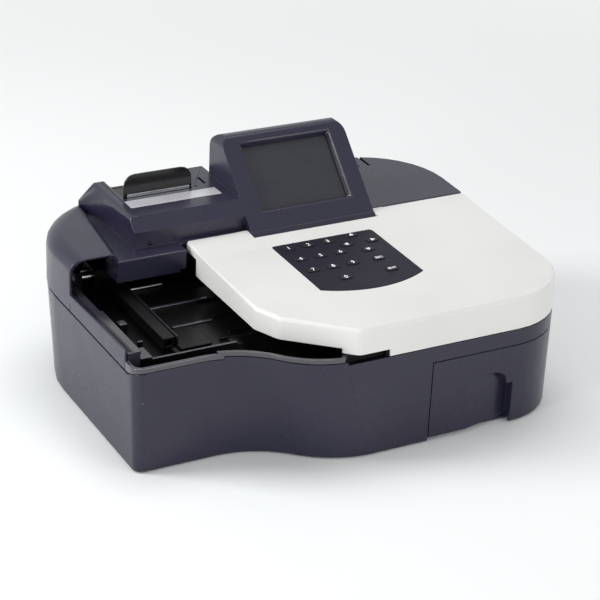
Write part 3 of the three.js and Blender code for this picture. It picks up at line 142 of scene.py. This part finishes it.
def edge_chains(mesh, turns):
    """Sharp edges that run on into each other, as lists of edge numbers."""
    at = {}
    for edge in mesh.edges:
        if turns[edge.index] > SHARP:
            for corner in edge.vertices:
                at.setdefault(corner, []).append(edge.index)
    parent = {number: number for pair in at.values() for number in pair}

    def root(number):
        while parent[number] != number:
            number = parent[number]
        return number

    for corner, pair in at.items():
        if len(pair) == 2:
            ways = []
            for number in pair:
                a, b = mesh.edges[number].vertices
                far = b if a == corner else a
                ways.append((mesh.vertices[far].co - mesh.vertices[corner].co).normalized())
            if ways[0].dot(ways[1]) < -cos(STRAIGHT_ON):
                parent[root(pair[0])] = root(pair[1])
    chains = {}
    for number in parent:
        chains.setdefault(root(number), []).append(number)
    return list(chains.values())


def edge_ends(mesh, number):
    """Both ends of an edge."""
    return [mesh.vertices[corner].co for corner in mesh.edges[number].vertices]


def edge_samples(mesh, number):
    """Places spread evenly along an edge."""
    a, b = edge_ends(mesh, number)
    count = max(1, int((b - a).length / SAMPLE))
    return [a.lerp(b, (step + 0.5) / count) for step in range(count)]


def free_room(mesh, turns, chain, corners, tree, spots, widest):
    """How wide a chain of edges can be rounded before it meets its neighbours."""
    ends = [edge_ends(mesh, number) for number in chain]
    room = min(widest, LENGTH_SHARE * sum((a - b).length for a, b in ends))
    for number in chain:
        for place in edge_samples(mesh, number):
            for _, found, distance in tree.find_range(place, room / EDGE_SHARE):
                other = spots[found][1]
                if corners.isdisjoint(mesh.edges[other].vertices):
                    share = EDGE_SHARE if turns[other] > SHARP else FOLD_SHARE
                    room = min(room, share * distance)
    return room


def weigh_edges(mesh, widest):
    """Gives each sharp edge its share of the widest rounding. The edges of slots stay sharp."""
    turns = edge_turns(mesh)
    marked = [edge.index for edge in mesh.edges if turns[edge.index] > FOLD]
    spots = [(place, number) for number in marked for place in edge_samples(mesh, number)]
    tree = KDTree(len(spots))
    for number, (place, _) in enumerate(spots):
        tree.insert(place, number)
    tree.balance()
    weights = mesh.attributes.new("bevel_weight_edge", "FLOAT", "EDGE")
    for chain in edge_chains(mesh, turns):
        corners = {corner for number in chain for corner in mesh.edges[number].vertices}
        if any(inside(mesh.vertices[corner].co / MM, *slit) for slit in SLOTS for corner in corners):
            continue
        room = free_room(mesh, turns, chain, corners, tree, spots, widest)
        for number in chain:
            weights.data[number].value = room / widest


def round_edges(piece, widest, segments=2):
    """Rounds each sharp edge as widely as its neighbours allow, up to widest, and shades the piece."""
    if widest:
        weigh_edges(piece.data, widest)
        bevel = piece.modifiers.new("edges", "BEVEL")
        bevel.width = widest
        bevel.segments = segments
        bevel.limit_method = "WEIGHT"
        bevel.use_clamp_overlap = False
        bevel.loop_slide = False
        bevel.miter_outer = "MITER_SHARP"
        apply_all(piece)
    only(piece)
    bpy.ops.object.shade_smooth_by_angle(angle=SMOOTH)
    normals = piece.modifiers.new("normals", "WEIGHTED_NORMAL")
    normals.keep_sharp = True
    normals.weight = NORMAL_WEIGHT
    apply_all(piece)


# Finished copies of CAD pieces

WELD = 0.02 * MM
JOINT_GROOVE = 1.3 * MM
RIM_TOLERANCE = 0.35 * MM


def open_joint(piece, heights, front):
    """Lowers the rim at these heights behind the front, so that the joint above it reads as a groove."""
    for corner in piece.data.vertices:
        if corner.co.y > front and any(abs(corner.co.z - height) < RIM_TOLERANCE for height in heights):
            corner.co.z -= JOINT_GROOVE


def skin(node, body, material, width=SKIN_EDGE, joint=None):
    """A finished copy of a CAD node: merged, with its edges rounded."""
    piece = bpy.data.objects.new(node + "_skin", nodes[node].data.copy())
    bpy.context.collection.objects.link(piece)
    only(piece)
    bpy.ops.mesh.customdata_custom_splitnormals_clear()
    bpy.ops.object.mode_set(mode="EDIT")
    bpy.ops.mesh.select_all(action="SELECT")
    bpy.ops.mesh.remove_doubles(threshold=WELD)
    bpy.ops.mesh.dissolve_degenerate(threshold=WELD)
    bpy.ops.object.mode_set(mode="OBJECT")
    if joint:
        open_joint(piece, *joint)
    round_edges(piece, width)
    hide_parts(node)
    return finish(piece, node + "_skin", body, material)


def facing(node):
    """Centre and outward direction of the CAD node's foremost flat side that faces up or forward."""
    level, turned, main_share = 0.2 * MM, 0.5, 0.3
    total = {}
    for face in nodes[node].data.polygons:
        if face.normal.z - face.normal.y < turned:
            continue
        depth = round(face.normal.dot(face.center) / level)
        key = (depth, *(round(c, 1) for c in face.normal))
        entry = total.setdefault(key, [0.0, Vector(), Vector()])
        entry[0] += face.area
        entry[1] += face.area * face.center
        entry[2] += face.area * face.normal
    widest = max(entry[0] for entry in total.values())
    flats = [key for key in total if total[key][0] > main_share * widest]
    area, centre, direction = total[max(flats)]
    return centre / area, direction.normalized()


# Materials

def linear(code):
    """A colour written as six hexadecimal figures, as Blender's linear colour."""
    parts = [int(code[i:i + 2], 16) / 255 for i in (0, 2, 4)]
    return [c / 12.92 if c < 0.04045 else ((c + 0.055) / 1.055) ** 2.4 for c in parts] + [1.0]


class Recipe:
    """A material in the making: a Principled shader and the nodes that feed it."""

    def __init__(self, name):
        self.material = bpy.data.materials.new(name)
        self.material.use_nodes = True
        self.tree = self.material.node_tree
        self.shader = self.tree.nodes["Principled BSDF"]
        self.place = self.node("ShaderNodeTexCoord").outputs["Object"]

    def node(self, kind, **settings):
        made = self.tree.nodes.new(kind)
        for key, value in settings.items():
            setattr(made, key, value)
        return made

    def link(self, start, end):
        self.tree.links.new(start, end)

    def feed(self, socket, value):
        """Sets a socket to a plain value, or links it to another node's output."""
        if isinstance(value, bpy.types.NodeSocket):
            self.link(value, socket)
        else:
            socket.default_value = value

    def surface(self, socket, value):
        """Feeds one of the shader's own sockets."""
        self.feed(self.shader.inputs[socket], value)

    def noise(self, scale, detail=2.0, roughness=0.55, place=None):
        """Soft noise, with its scale in patches to the metre."""
        made = self.node("ShaderNodeTexNoise")
        made.inputs["Scale"].default_value = scale
        made.inputs["Detail"].default_value = detail
        made.inputs["Roughness"].default_value = roughness
        self.link(place or self.place, made.inputs["Vector"])
        return made.outputs["Fac"]

    def specks(self, spacing, size):
        """1 at small spots scattered about one spacing apart, and 0 between them."""
        made = self.node("ShaderNodeTexVoronoi")
        made.inputs["Scale"].default_value = 1 / spacing
        self.link(self.place, made.inputs["Vector"])
        return self.spread(made.outputs["Distance"], 1.0, 0.0, size / spacing, 1.5 * size / spacing)

    def spread(self, value, low, high, start=0.3, end=0.7):
        """Stretches the range between start and end to the one between low and high."""
        made = self.node("ShaderNodeMapRange")
        made.inputs["From Min"].default_value = start
        made.inputs["From Max"].default_value = end
        made.inputs["To Min"].default_value = low
        made.inputs["To Max"].default_value = high
        self.link(value, made.inputs["Value"])
        return made.outputs["Result"]

    def maths(self, operation, first, second):
        made = self.node("ShaderNodeMath", operation=operation)
        self.feed(made.inputs[0], first)
        self.feed(made.inputs[1], second)
        return made.outputs["Value"]

    def blend(self, value, first, second):
        """Goes from the first colour to the second as value goes from 0 to 1."""
        made = self.node("ShaderNodeMix", data_type="RGBA")
        self.link(value, made.inputs["Factor"])
        self.feed(made.inputs["A"], first)
        self.feed(made.inputs["B"], second)
        return made.outputs["Result"]

    def bump(self, height, distance):
        made = self.node("ShaderNodeBump")
        made.inputs["Distance"].default_value = distance
        self.link(height, made.inputs["Height"])
        return made.outputs["Normal"]


TONE_PATCHES = 9.0
WIPED_PATCHES = 26.0
DUST_PATCHES = 22.0
DUST_SPACING = 11 * MM
DUST_SIZE = 0.32 * MM


def moulded(name, code, shade, roughness, grain=0.9, depth=0.02, gloss=0.5, dust=None):
    """Moulded plastic: a fine grain (size and depth in millimetres), a slow change of tone, some dust."""
    recipe = Recipe(name)
    tone = recipe.spread(recipe.noise(TONE_PATCHES), 0.0, 1.0)
    colour = recipe.blend(tone, linear(code), linear(shade))
    if dust:
        patches = recipe.spread(recipe.noise(DUST_PATCHES), 0.0, 1.0, 0.52, 0.62)
        spots = recipe.maths("MULTIPLY", recipe.specks(DUST_SPACING, DUST_SIZE), patches)
        colour = recipe.blend(spots, colour, linear(dust))
    recipe.surface("Base Color", colour)
    wiped = recipe.noise(WIPED_PATCHES, 5.0, 0.62)
    recipe.surface("Roughness", recipe.spread(wiped, roughness - 0.035, roughness + 0.05))
    if depth:
        recipe.surface("Normal", recipe.bump(recipe.noise(1 / (grain * MM), 2.0, 0.6), depth * MM))
    recipe.surface("Specular IOR Level", gloss)
    return recipe.material


LINE_DEPTH = 0.006 * MM
LINE_SHADE = 0.86


def metal(name, code, roughness, lines, scale=900.0, shine=1.0):
    """Metal with fine drawn or ground lines, drawn out along the axis that has a small factor in lines."""
    recipe = Recipe(name)
    mapping = recipe.node("ShaderNodeMapping")
    mapping.inputs["Scale"].default_value = lines
    recipe.link(recipe.place, mapping.inputs["Vector"])
    streak = recipe.noise(scale, 3.0, 0.6, mapping.outputs["Vector"])
    base = linear(code)
    darker = [c * LINE_SHADE for c in base[:3]] + [1.0]
    recipe.surface("Roughness", recipe.spread(streak, roughness - 0.08, roughness + 0.1))
    recipe.surface("Base Color", recipe.blend(streak, darker, base))
    recipe.surface("Normal", recipe.bump(streak, LINE_DEPTH))
    recipe.surface("Metallic", shine)
    return recipe.material


# Width of the near-black border round the screen's picture: partly the screen's mask, partly painted shade
# from the recess's sides.
WINDOW_MASK_AND_SHADE = 2.2 * MM
BORDER_BLUR = 0.3 * MM


def window_material():
    """Dark glass over a grey screen, with a black border round the picture that is partly the screen's own
    mask and partly painted shade cast by the recess's sides.
    """
    centre, direction = facing("display_window")
    low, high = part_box("display_window")
    lean = Vector((0, -direction.z, direction.y))
    half = (high.x - low.x) / 2, (high.z - low.z) / 2 / abs(lean.z)
    recipe = Recipe("screen_window")
    mapping = recipe.node("ShaderNodeMapping", vector_type="POINT")
    turn = Matrix((Vector((1, 0, 0)), -lean if lean.z < 0 else lean, direction)).to_euler()
    mapping.inputs["Rotation"].default_value = turn
    mapping.inputs["Location"].default_value = -(turn.to_matrix() @ centre)
    recipe.link(recipe.place, mapping.inputs["Vector"])
    split = recipe.node("ShaderNodeSeparateXYZ")
    recipe.link(mapping.outputs["Vector"], split.inputs["Vector"])
    masks = []
    for axis, reach in zip("XY", half):
        far = recipe.maths("ABSOLUTE", split.outputs[axis], 0.0)
        edge = reach - WINDOW_MASK_AND_SHADE
        masks.append(recipe.spread(far, 1.0, 0.0, edge, edge + BORDER_BLUR))
    picture = recipe.maths("MULTIPLY", *masks)
    haze = recipe.spread(recipe.noise(14.0), 0.0, 1.0)
    screen_grey = recipe.blend(haze, linear("34353A"), linear("303136"))
    # The border takes a near-black colour that stands partly for the screen's mask and partly for painted
    # shade from the recess's sides.
    recipe.surface("Base Color", recipe.blend(picture, linear("17171A"), screen_grey))
    recipe.surface("Roughness", recipe.spread(recipe.noise(60.0, 4.0), 0.26, 0.34))
    recipe.surface("Specular IOR Level", 0.35)
    return recipe.material


navy = moulded("navy_plastic", "272538", "242235", 0.27, depth=0.006, dust="8C8C98", gloss=0.45)
white = moulded("white_plastic", "E2E2DF", "DBDBD7", 0.36, depth=0.006)
black = moulded("black_plastic", "151517", "121214", 0.26, depth=0.004)
bed = moulded("tray_plastic", "0C0C0D", "0A0A0B", 0.3, depth=0.006, gloss=0.2)
# The glossy dark grey of the tray surround and guide bars, also put on faces of other pieces as a painted
# highlight: the display's right reveal and the tray wall tops.
trim_and_highlight = moulded("trim_and_highlight_plastic", "36353E", "313039", 0.14, depth=0.003, gloss=1.0)
# Painted shade: a near-black colour for the insides of the slits, marks and the lid notch, where shade falls
# in them.
slot = moulded("slot_shadow", "060608", "050507", 0.6, depth=0, gloss=0.15)
film = moulded("keypad_film", "1A1827", "171523", 0.46, grain=0.5, depth=0.004, gloss=0.16)
keycap = moulded("key_rubber", "12111C", "100F19", 0.4, grain=0.5, depth=0.006, gloss=0.25)
smoke = moulded("smoked_plastic", "0D0D0F", "0B0B0D", 0.12, depth=0.001, gloss=0.4)
rubber = moulded("foot_rubber", "1C1C1C", "181818", 0.8, grain=1.2, depth=0.04, gloss=0.3)
grey = moulded("grey_plastic", "4A4A50", "45454B", 0.4)
circuit = moulded("circuit_board", "1D5437", "1A4B31", 0.4, grain=2.0, depth=0.01)
paper = moulded("paper", "EDECE6", "E8E7E0", 0.85, grain=0.4, depth=0.01, gloss=0.2)
ink = moulded("legend_ink", "F4F4F6", "EEEEF2", 0.5, depth=0, gloss=0.3)
lamp_lens = moulded("lamp_lens", "0D0D10", "0B0B0E", 0.12, depth=0)
steel = metal("steel", "B8BABD", 0.3, (0.02, 1.0, 1.0))
silver = metal("silver_plate", "D2D2D6", 0.34, (0.02, 1.0, 1.0), 1400.0, shine=0.35)
sheet = metal("metal_case", "A9AAAE", 0.42, (1.0, 0.05, 1.0), 500.0)
window = window_material()


# CAD pieces that keep their shape, with rounded edges and their own finish

skins = {
    "body": {
        "lower_housing": navy, "upper_housing": navy, "display_back_cover": navy,
        "foot_front_left": rubber, "foot_front_right": rubber,
        "foot_rear_left": rubber, "foot_rear_right": rubber,
        "display_window": window, "display_module": grey, "hinge_pin_left": steel, "hinge_pin_right": steel,
        "name_strip": silver, "power_light": lamp_lens, "tray_bed": bed, "tray_surround": trim_and_highlight,
        "guide_rod": steel, "drive_motor": grey, "head_rod": steel, "inner_deck": black,
        "printer_frame": black, "print_head": grey, "tear_bar": steel, "main_board": circuit,
        "power_supply": sheet, "power_inlet": black, "serial_port": sheet, "switch_frame": black,
    },
    "lid": {"lid": white, "keypad_panel": film, "keypad_board": circuit},
    "pusher": {"strip_pusher": bed, "pusher_blade": black},
    "screw": {"drive_screw": steel},
    "head": {"measuring_head": grey},
    "drawer": {"waste_drawer": navy, "waste_liner": grey},
    "paper_cover": {"paper_cover": smoke},
    "paper_roll": {"paper_roll": paper},
    "platen": {"platen_roller": rubber},
    "rocker": {"power_switch": black},
}
edge_widths = {
    "upper_housing": 1.5 * MM, "lower_housing": 1.2 * MM, "lid": 1.3 * MM, "waste_drawer": 0.8 * MM,
    "tray_surround": 0.7 * MM, "tray_bed": 0.6 * MM, "strip_pusher": 0.5 * MM, "paper_cover": 0.9 * MM,
    "keypad_panel": 0.3 * MM, "name_strip": 0.15 * MM, "tear_bar": 0.1 * MM, "pusher_blade": 0.15 * MM,
    "display_window": 0, "display_module": 0, "keypad_board": 0, "main_board": 0,
}
LEFT_RIM = 86.5 * MM
REAR_RIM = 90.0 * MM
GROOVE_FRONT = -95.0 * MM
joints = {"lower_housing": ((LEFT_RIM, REAR_RIM), GROOVE_FRONT)}

dressed = {}
for body, members in skins.items():
    for node, material in members.items():
        dressed[node] = skin(node, body, material, edge_widths.get(node, SKIN_EDGE), joints.get(node))


# Painted shade in the slits, marks and lid notch, and a painted highlight on the display's right reveal and
# the tray wall tops

def repaint(node, material, chosen):
    """Gives another material to the faces of a finished copy that the test picks by centre and direction."""
    mesh = dressed[node].data
    mesh.materials.append(material)
    for face in mesh.polygons:
        if chosen(face.center / MM, face.normal):
            face.material_index = len(mesh.materials) - 1


UPWARD = 0.5


def in_slot(place, way):
    """True for a face within a slot that isn't part of the flat top round it."""
    return any(inside(place, *slit) for slit in SLOTS) and (way.z < UPWARD or not inside(place, *BLOCK_TOP))


# Painted shade on the insides of the deck and block slits and marks.
repaint("upper_housing", slot, in_slot)
# Painted highlight: the left-facing right reveal of the display recess takes the lighter, glossier tray
# surround plastic.
repaint("upper_housing", trim_and_highlight, lambda place, way: way.x < -0.6 and inside(place, *DISPLAY_REVEAL))
# Painted shade in the finger notch under the lid's front edge.
repaint("lower_housing", slot, lambda place, way: inside(place, *LID_NOTCH))
# Painted highlight: the tray bed's black wall tops take the lighter, glossier tray surround plastic.
repaint("tray_bed", trim_and_highlight, lambda place, way: way.z > 0.3 and TRAY_WALL_TOPS[0] < place.z < TRAY_WALL_TOPS[1])


# Loose pieces in the tray: two guide bars and a short steel rod

BAR_EDGE = 0.5 * MM
GUIDE_BARS = {
    "guide_bar_rear": ((-130.0, 13.0, 81.9), (-76.0, 16.6, 83.6)),
    "guide_bar_front": ((-127.0, -26.0, 81.9), (-90.0, -23.0, 83.4)),
}
ROD_RADIUS = 1.4 * MM
ROD_LENGTH = 30 * MM
ROD_CENTRE = (-115.5 * MM, 55.0 * MM, 83.35 * MM)
ROD_EDGE = 0.4 * MM
ROD_SIDES = 32

for name, corners in GUIDE_BARS.items():
    low, high = (Vector(corner) * MM for corner in corners)
    bpy.ops.object.select_all(action="DESELECT")
    bpy.ops.mesh.primitive_cube_add(size=1, location=(low + high) / 2, scale=high - low)
    guide_bar = settle(bpy.context.active_object)
    round_edges(guide_bar, BAR_EDGE, segments=3)
    finish(guide_bar, name, "body", trim_and_highlight)

bpy.ops.object.select_all(action="DESELECT")
bpy.ops.mesh.primitive_cylinder_add(vertices=ROD_SIDES, radius=ROD_RADIUS, depth=ROD_LENGTH,
                                    location=ROD_CENTRE, rotation=(0, pi / 2, 0))
feed_rod = settle(bpy.context.active_object)
round_edges(feed_rod, ROD_EDGE)
finish(feed_rod, "feed_rod", "body", steel)


# Keys and their legends

KEY_EDGE = 0.3 * MM
FIGURE_SIZE = 6.4 * MM
WORD_SIZE = 4.4 * MM
BOLD_SHARE = 0.02
ARROW_RADIUS = 2.9 * MM
ARROW_ROUNDING_SHARE = 0.35
INK_DEPTH = 0.06 * MM
ARROWS = {"up": 0, "left": pi / 2, "down": pi, "right": -pi / 2}


def written(text, size):
    """A word or a figure as a thin mesh, lying flat round the origin."""
    bpy.ops.object.select_all(action="DESELECT")
    bpy.ops.object.text_add()
    piece = bpy.context.active_object
    piece.data.body = text
    piece.data.size = size
    piece.data.align_x = "CENTER"
    piece.data.align_y = "CENTER"
    piece.data.offset = BOLD_SHARE * size
    piece.data.extrude = INK_DEPTH
    only(piece)
    bpy.ops.object.convert(target="MESH")
    return bpy.context.active_object


def arrow(turn):
    """A three-cornered mark with rounded corners, as a thin mesh."""
    bpy.ops.object.select_all(action="DESELECT")
    bpy.ops.mesh.primitive_cylinder_add(vertices=3, radius=ARROW_RADIUS, depth=2 * INK_DEPTH,
                                        rotation=(0, 0, turn))
    piece = settle(bpy.context.active_object)
    bevel = piece.modifiers.new("corners", "BEVEL")
    bevel.width = ARROW_ROUNDING_SHARE * ARROW_RADIUS
    bevel.segments = 3
    bevel.limit_method = "ANGLE"
    bevel.angle_limit = radians(100)
    apply_all(piece)
    return piece


def legend(sign):
    """The mark of one key, as a thin mesh lying flat round the origin."""
    if sign in ARROWS:
        return arrow(ARROWS[sign])
    return written(sign.upper(), FIGURE_SIZE if len(sign) == 1 else WORD_SIZE)


key_names = sorted(body for body in frame["bodies"] if body.startswith("key_"))
for key in key_names:
    skin(key, key, keycap, KEY_EDGE)
for key in key_names:
    sign = key.removeprefix("key_")
    centre, direction = facing(key)
    ahead = Vector((0, direction.z, -direction.y))
    turn = Matrix((Vector((1, 0, 0)), ahead, direction)).transposed().to_4x4()
    mark = legend(sign)
    mark.matrix_world = Matrix.Translation(centre) @ turn
    finish(settle(mark), "legend_" + sign, key, ink)


# Floor and background

FLOOR = 9.0
FADE_START = 0.45
FADE_END = 1.5
BACKGROUND = (0.9, 0.93, 0.92, 1.0)
OVERHEAD = (0.66, 0.66, 0.69, 1.0)
ROOM_LIGHT = (0.97, 0.97, 1.0, 1.0)
ROOM_STRENGTH = 0.5


def background_rays(tree):
    """1 for the rays that show the background: seen by the camera, mirrored, or through something clear."""
    rays = tree.nodes.new("ShaderNodeLightPath")
    total = rays.outputs["Is Camera Ray"]
    for kind in ("Is Glossy Ray", "Is Transmission Ray"):
        added = tree.nodes.new("ShaderNodeMath")
        added.operation = "ADD"
        added.use_clamp = True
        tree.links.new(total, added.inputs[0])
        tree.links.new(rays.outputs[kind], added.inputs[1])
        total = added.outputs["Value"]
    return total


def floor_paint():
    """Pale matt paint that takes the object's shadow and fades into the pale background far from it."""
    recipe = Recipe("floor_paint")
    tone = recipe.spread(recipe.noise(5.0), 0.0, 1.0)
    recipe.surface("Base Color", recipe.blend(tone, linear("F4F6F5"), linear("F2F5F3")))
    recipe.surface("Roughness", recipe.spread(recipe.noise(40.0, 3.0), 0.66, 0.74))
    recipe.surface("Specular IOR Level", 0.2)
    distance = recipe.node("ShaderNodeVectorMath", operation="LENGTH")
    recipe.link(recipe.place, distance.inputs[0])
    far = recipe.spread(distance.outputs["Value"], 0.0, 1.0, FADE_START, FADE_END)
    glow = recipe.node("ShaderNodeEmission")
    glow.inputs["Color"].default_value = BACKGROUND
    mixed = recipe.node("ShaderNodeMixShader")
    recipe.link(recipe.maths("MULTIPLY", far, background_rays(recipe.tree)), mixed.inputs["Fac"])
    recipe.link(recipe.shader.outputs["BSDF"], mixed.inputs[1])
    recipe.link(glow.outputs["Emission"], mixed.inputs[2])
    recipe.link(mixed.outputs["Shader"], recipe.tree.nodes["Material Output"].inputs["Surface"])
    return recipe.material


def studio_world():
    """A plain light from all round, and a pale background that darkens a little overhead."""
    world = bpy.data.worlds.new("studio")
    bpy.context.scene.world = world
    world.use_nodes = True
    tree = world.node_tree
    plain = tree.nodes["Background"]
    plain.inputs["Color"].default_value = ROOM_LIGHT
    plain.inputs["Strength"].default_value = ROOM_STRENGTH
    toward = tree.nodes.new("ShaderNodeTexCoord")
    height = tree.nodes.new("ShaderNodeSeparateXYZ")
    climb = tree.nodes.new("ShaderNodeMapRange")
    climb.inputs["From Min"].default_value = 0.1
    climb.inputs["From Max"].default_value = 0.75
    fade = tree.nodes.new("ShaderNodeMix")
    fade.data_type = "RGBA"
    fade.inputs["A"].default_value = BACKGROUND
    fade.inputs["B"].default_value = OVERHEAD
    pale = tree.nodes.new("ShaderNodeBackground")
    either = tree.nodes.new("ShaderNodeMixShader")
    tree.links.new(toward.outputs["Generated"], height.inputs["Vector"])
    tree.links.new(height.outputs["Z"], climb.inputs["Value"])
    tree.links.new(climb.outputs["Result"], fade.inputs["Factor"])
    tree.links.new(fade.outputs["Result"], pale.inputs["Color"])
    tree.links.new(background_rays(tree), either.inputs["Fac"])
    tree.links.new(plain.outputs["Background"], either.inputs[1])
    tree.links.new(pale.outputs["Background"], either.inputs[2])
    tree.links.new(either.outputs["Shader"], tree.nodes["World Output"].inputs["Surface"])


bpy.ops.object.select_all(action="DESELECT")
bpy.ops.mesh.primitive_plane_add(size=FLOOR, location=(0, 0, 0))
floor = bpy.context.active_object
floor.name = "floor"
floor.data.materials.append(floor_paint())
studio_world()


# Lamps: each with its place, its two sides in metres and its power in watts

MIDDLE = Vector((0.0, 0.0, 0.08))
LAMPS = {
    "key_lamp": ((-1.4, 0.6, 1.0), (0.6, 0.6), 17),
    "top_lamp": ((0.2, 0.3, 1.7), (1.0, 0.8), 8),
    "front_lamp": ((0.8, -1.6, 0.7), (1.2, 0.8), 9),
    "left_strip": ((-1.5, -0.62, 0.36), (0.22, 0.5), 6.5),
}
for name, (place, sides, power) in LAMPS.items():
    light = bpy.data.lights.new(name, "AREA")
    light.shape = "RECTANGLE"
    light.size, light.size_y = sides
    light.energy = power
    lamp = bpy.data.objects.new(name, light)
    bpy.context.collection.objects.link(lamp)
    lamp.location = place
    lamp.rotation_euler = (MIDDLE - Vector(place)).to_track_quat("-Z", "Y").to_euler()


# The camera stands to the left of the front, as in the photograph

AZIMUTH = radians(29.0)
ELEVATION = radians(25.6)
ROLL = radians(-2.5)
DISTANCE = 1.625
CORNER = Vector((-0.195, -0.095, 0.0))
CORNER_PIXEL = (131, 469)
AXIS_PIXEL = (300, 295)
PICTURE_PIXELS = 600
FOCAL_PIXELS = 2000
SENSOR = 36.0


def camera():
    """A camera that sees the foot of the left front corner at its pixel in the photograph."""
    forward = Vector((sin(AZIMUTH) * cos(ELEVATION), cos(AZIMUTH) * cos(ELEVATION), -sin(ELEVATION)))
    level = Vector((cos(AZIMUTH), -sin(AZIMUTH), 0))
    down = forward.cross(level)
    across = cos(ROLL) * level + sin(ROLL) * down
    down = cos(ROLL) * down - sin(ROLL) * level
    offset = [(corner - axis) / FOCAL_PIXELS for corner, axis in zip(CORNER_PIXEL, AXIS_PIXEL)]
    place = CORNER - DISTANCE * (across * offset[0] + down * offset[1] + forward)
    data = bpy.data.cameras.new("camera")
    data.sensor_width = SENSOR
    data.lens = SENSOR * FOCAL_PIXELS / PICTURE_PIXELS
    data.shift_x = (PICTURE_PIXELS / 2 - AXIS_PIXEL[0]) / PICTURE_PIXELS
    data.shift_y = (AXIS_PIXEL[1] - PICTURE_PIXELS / 2) / PICTURE_PIXELS
    holder = bpy.data.objects.new("camera", data)
    bpy.context.collection.objects.link(holder)
    turn = Matrix((across, -down, -forward)).transposed().to_4x4()
    holder.matrix_world = Matrix.Translation(place) @ turn
    bpy.context.scene.camera = holder


camera()
bpy.context.scene.view_settings.view_transform = "Standard"
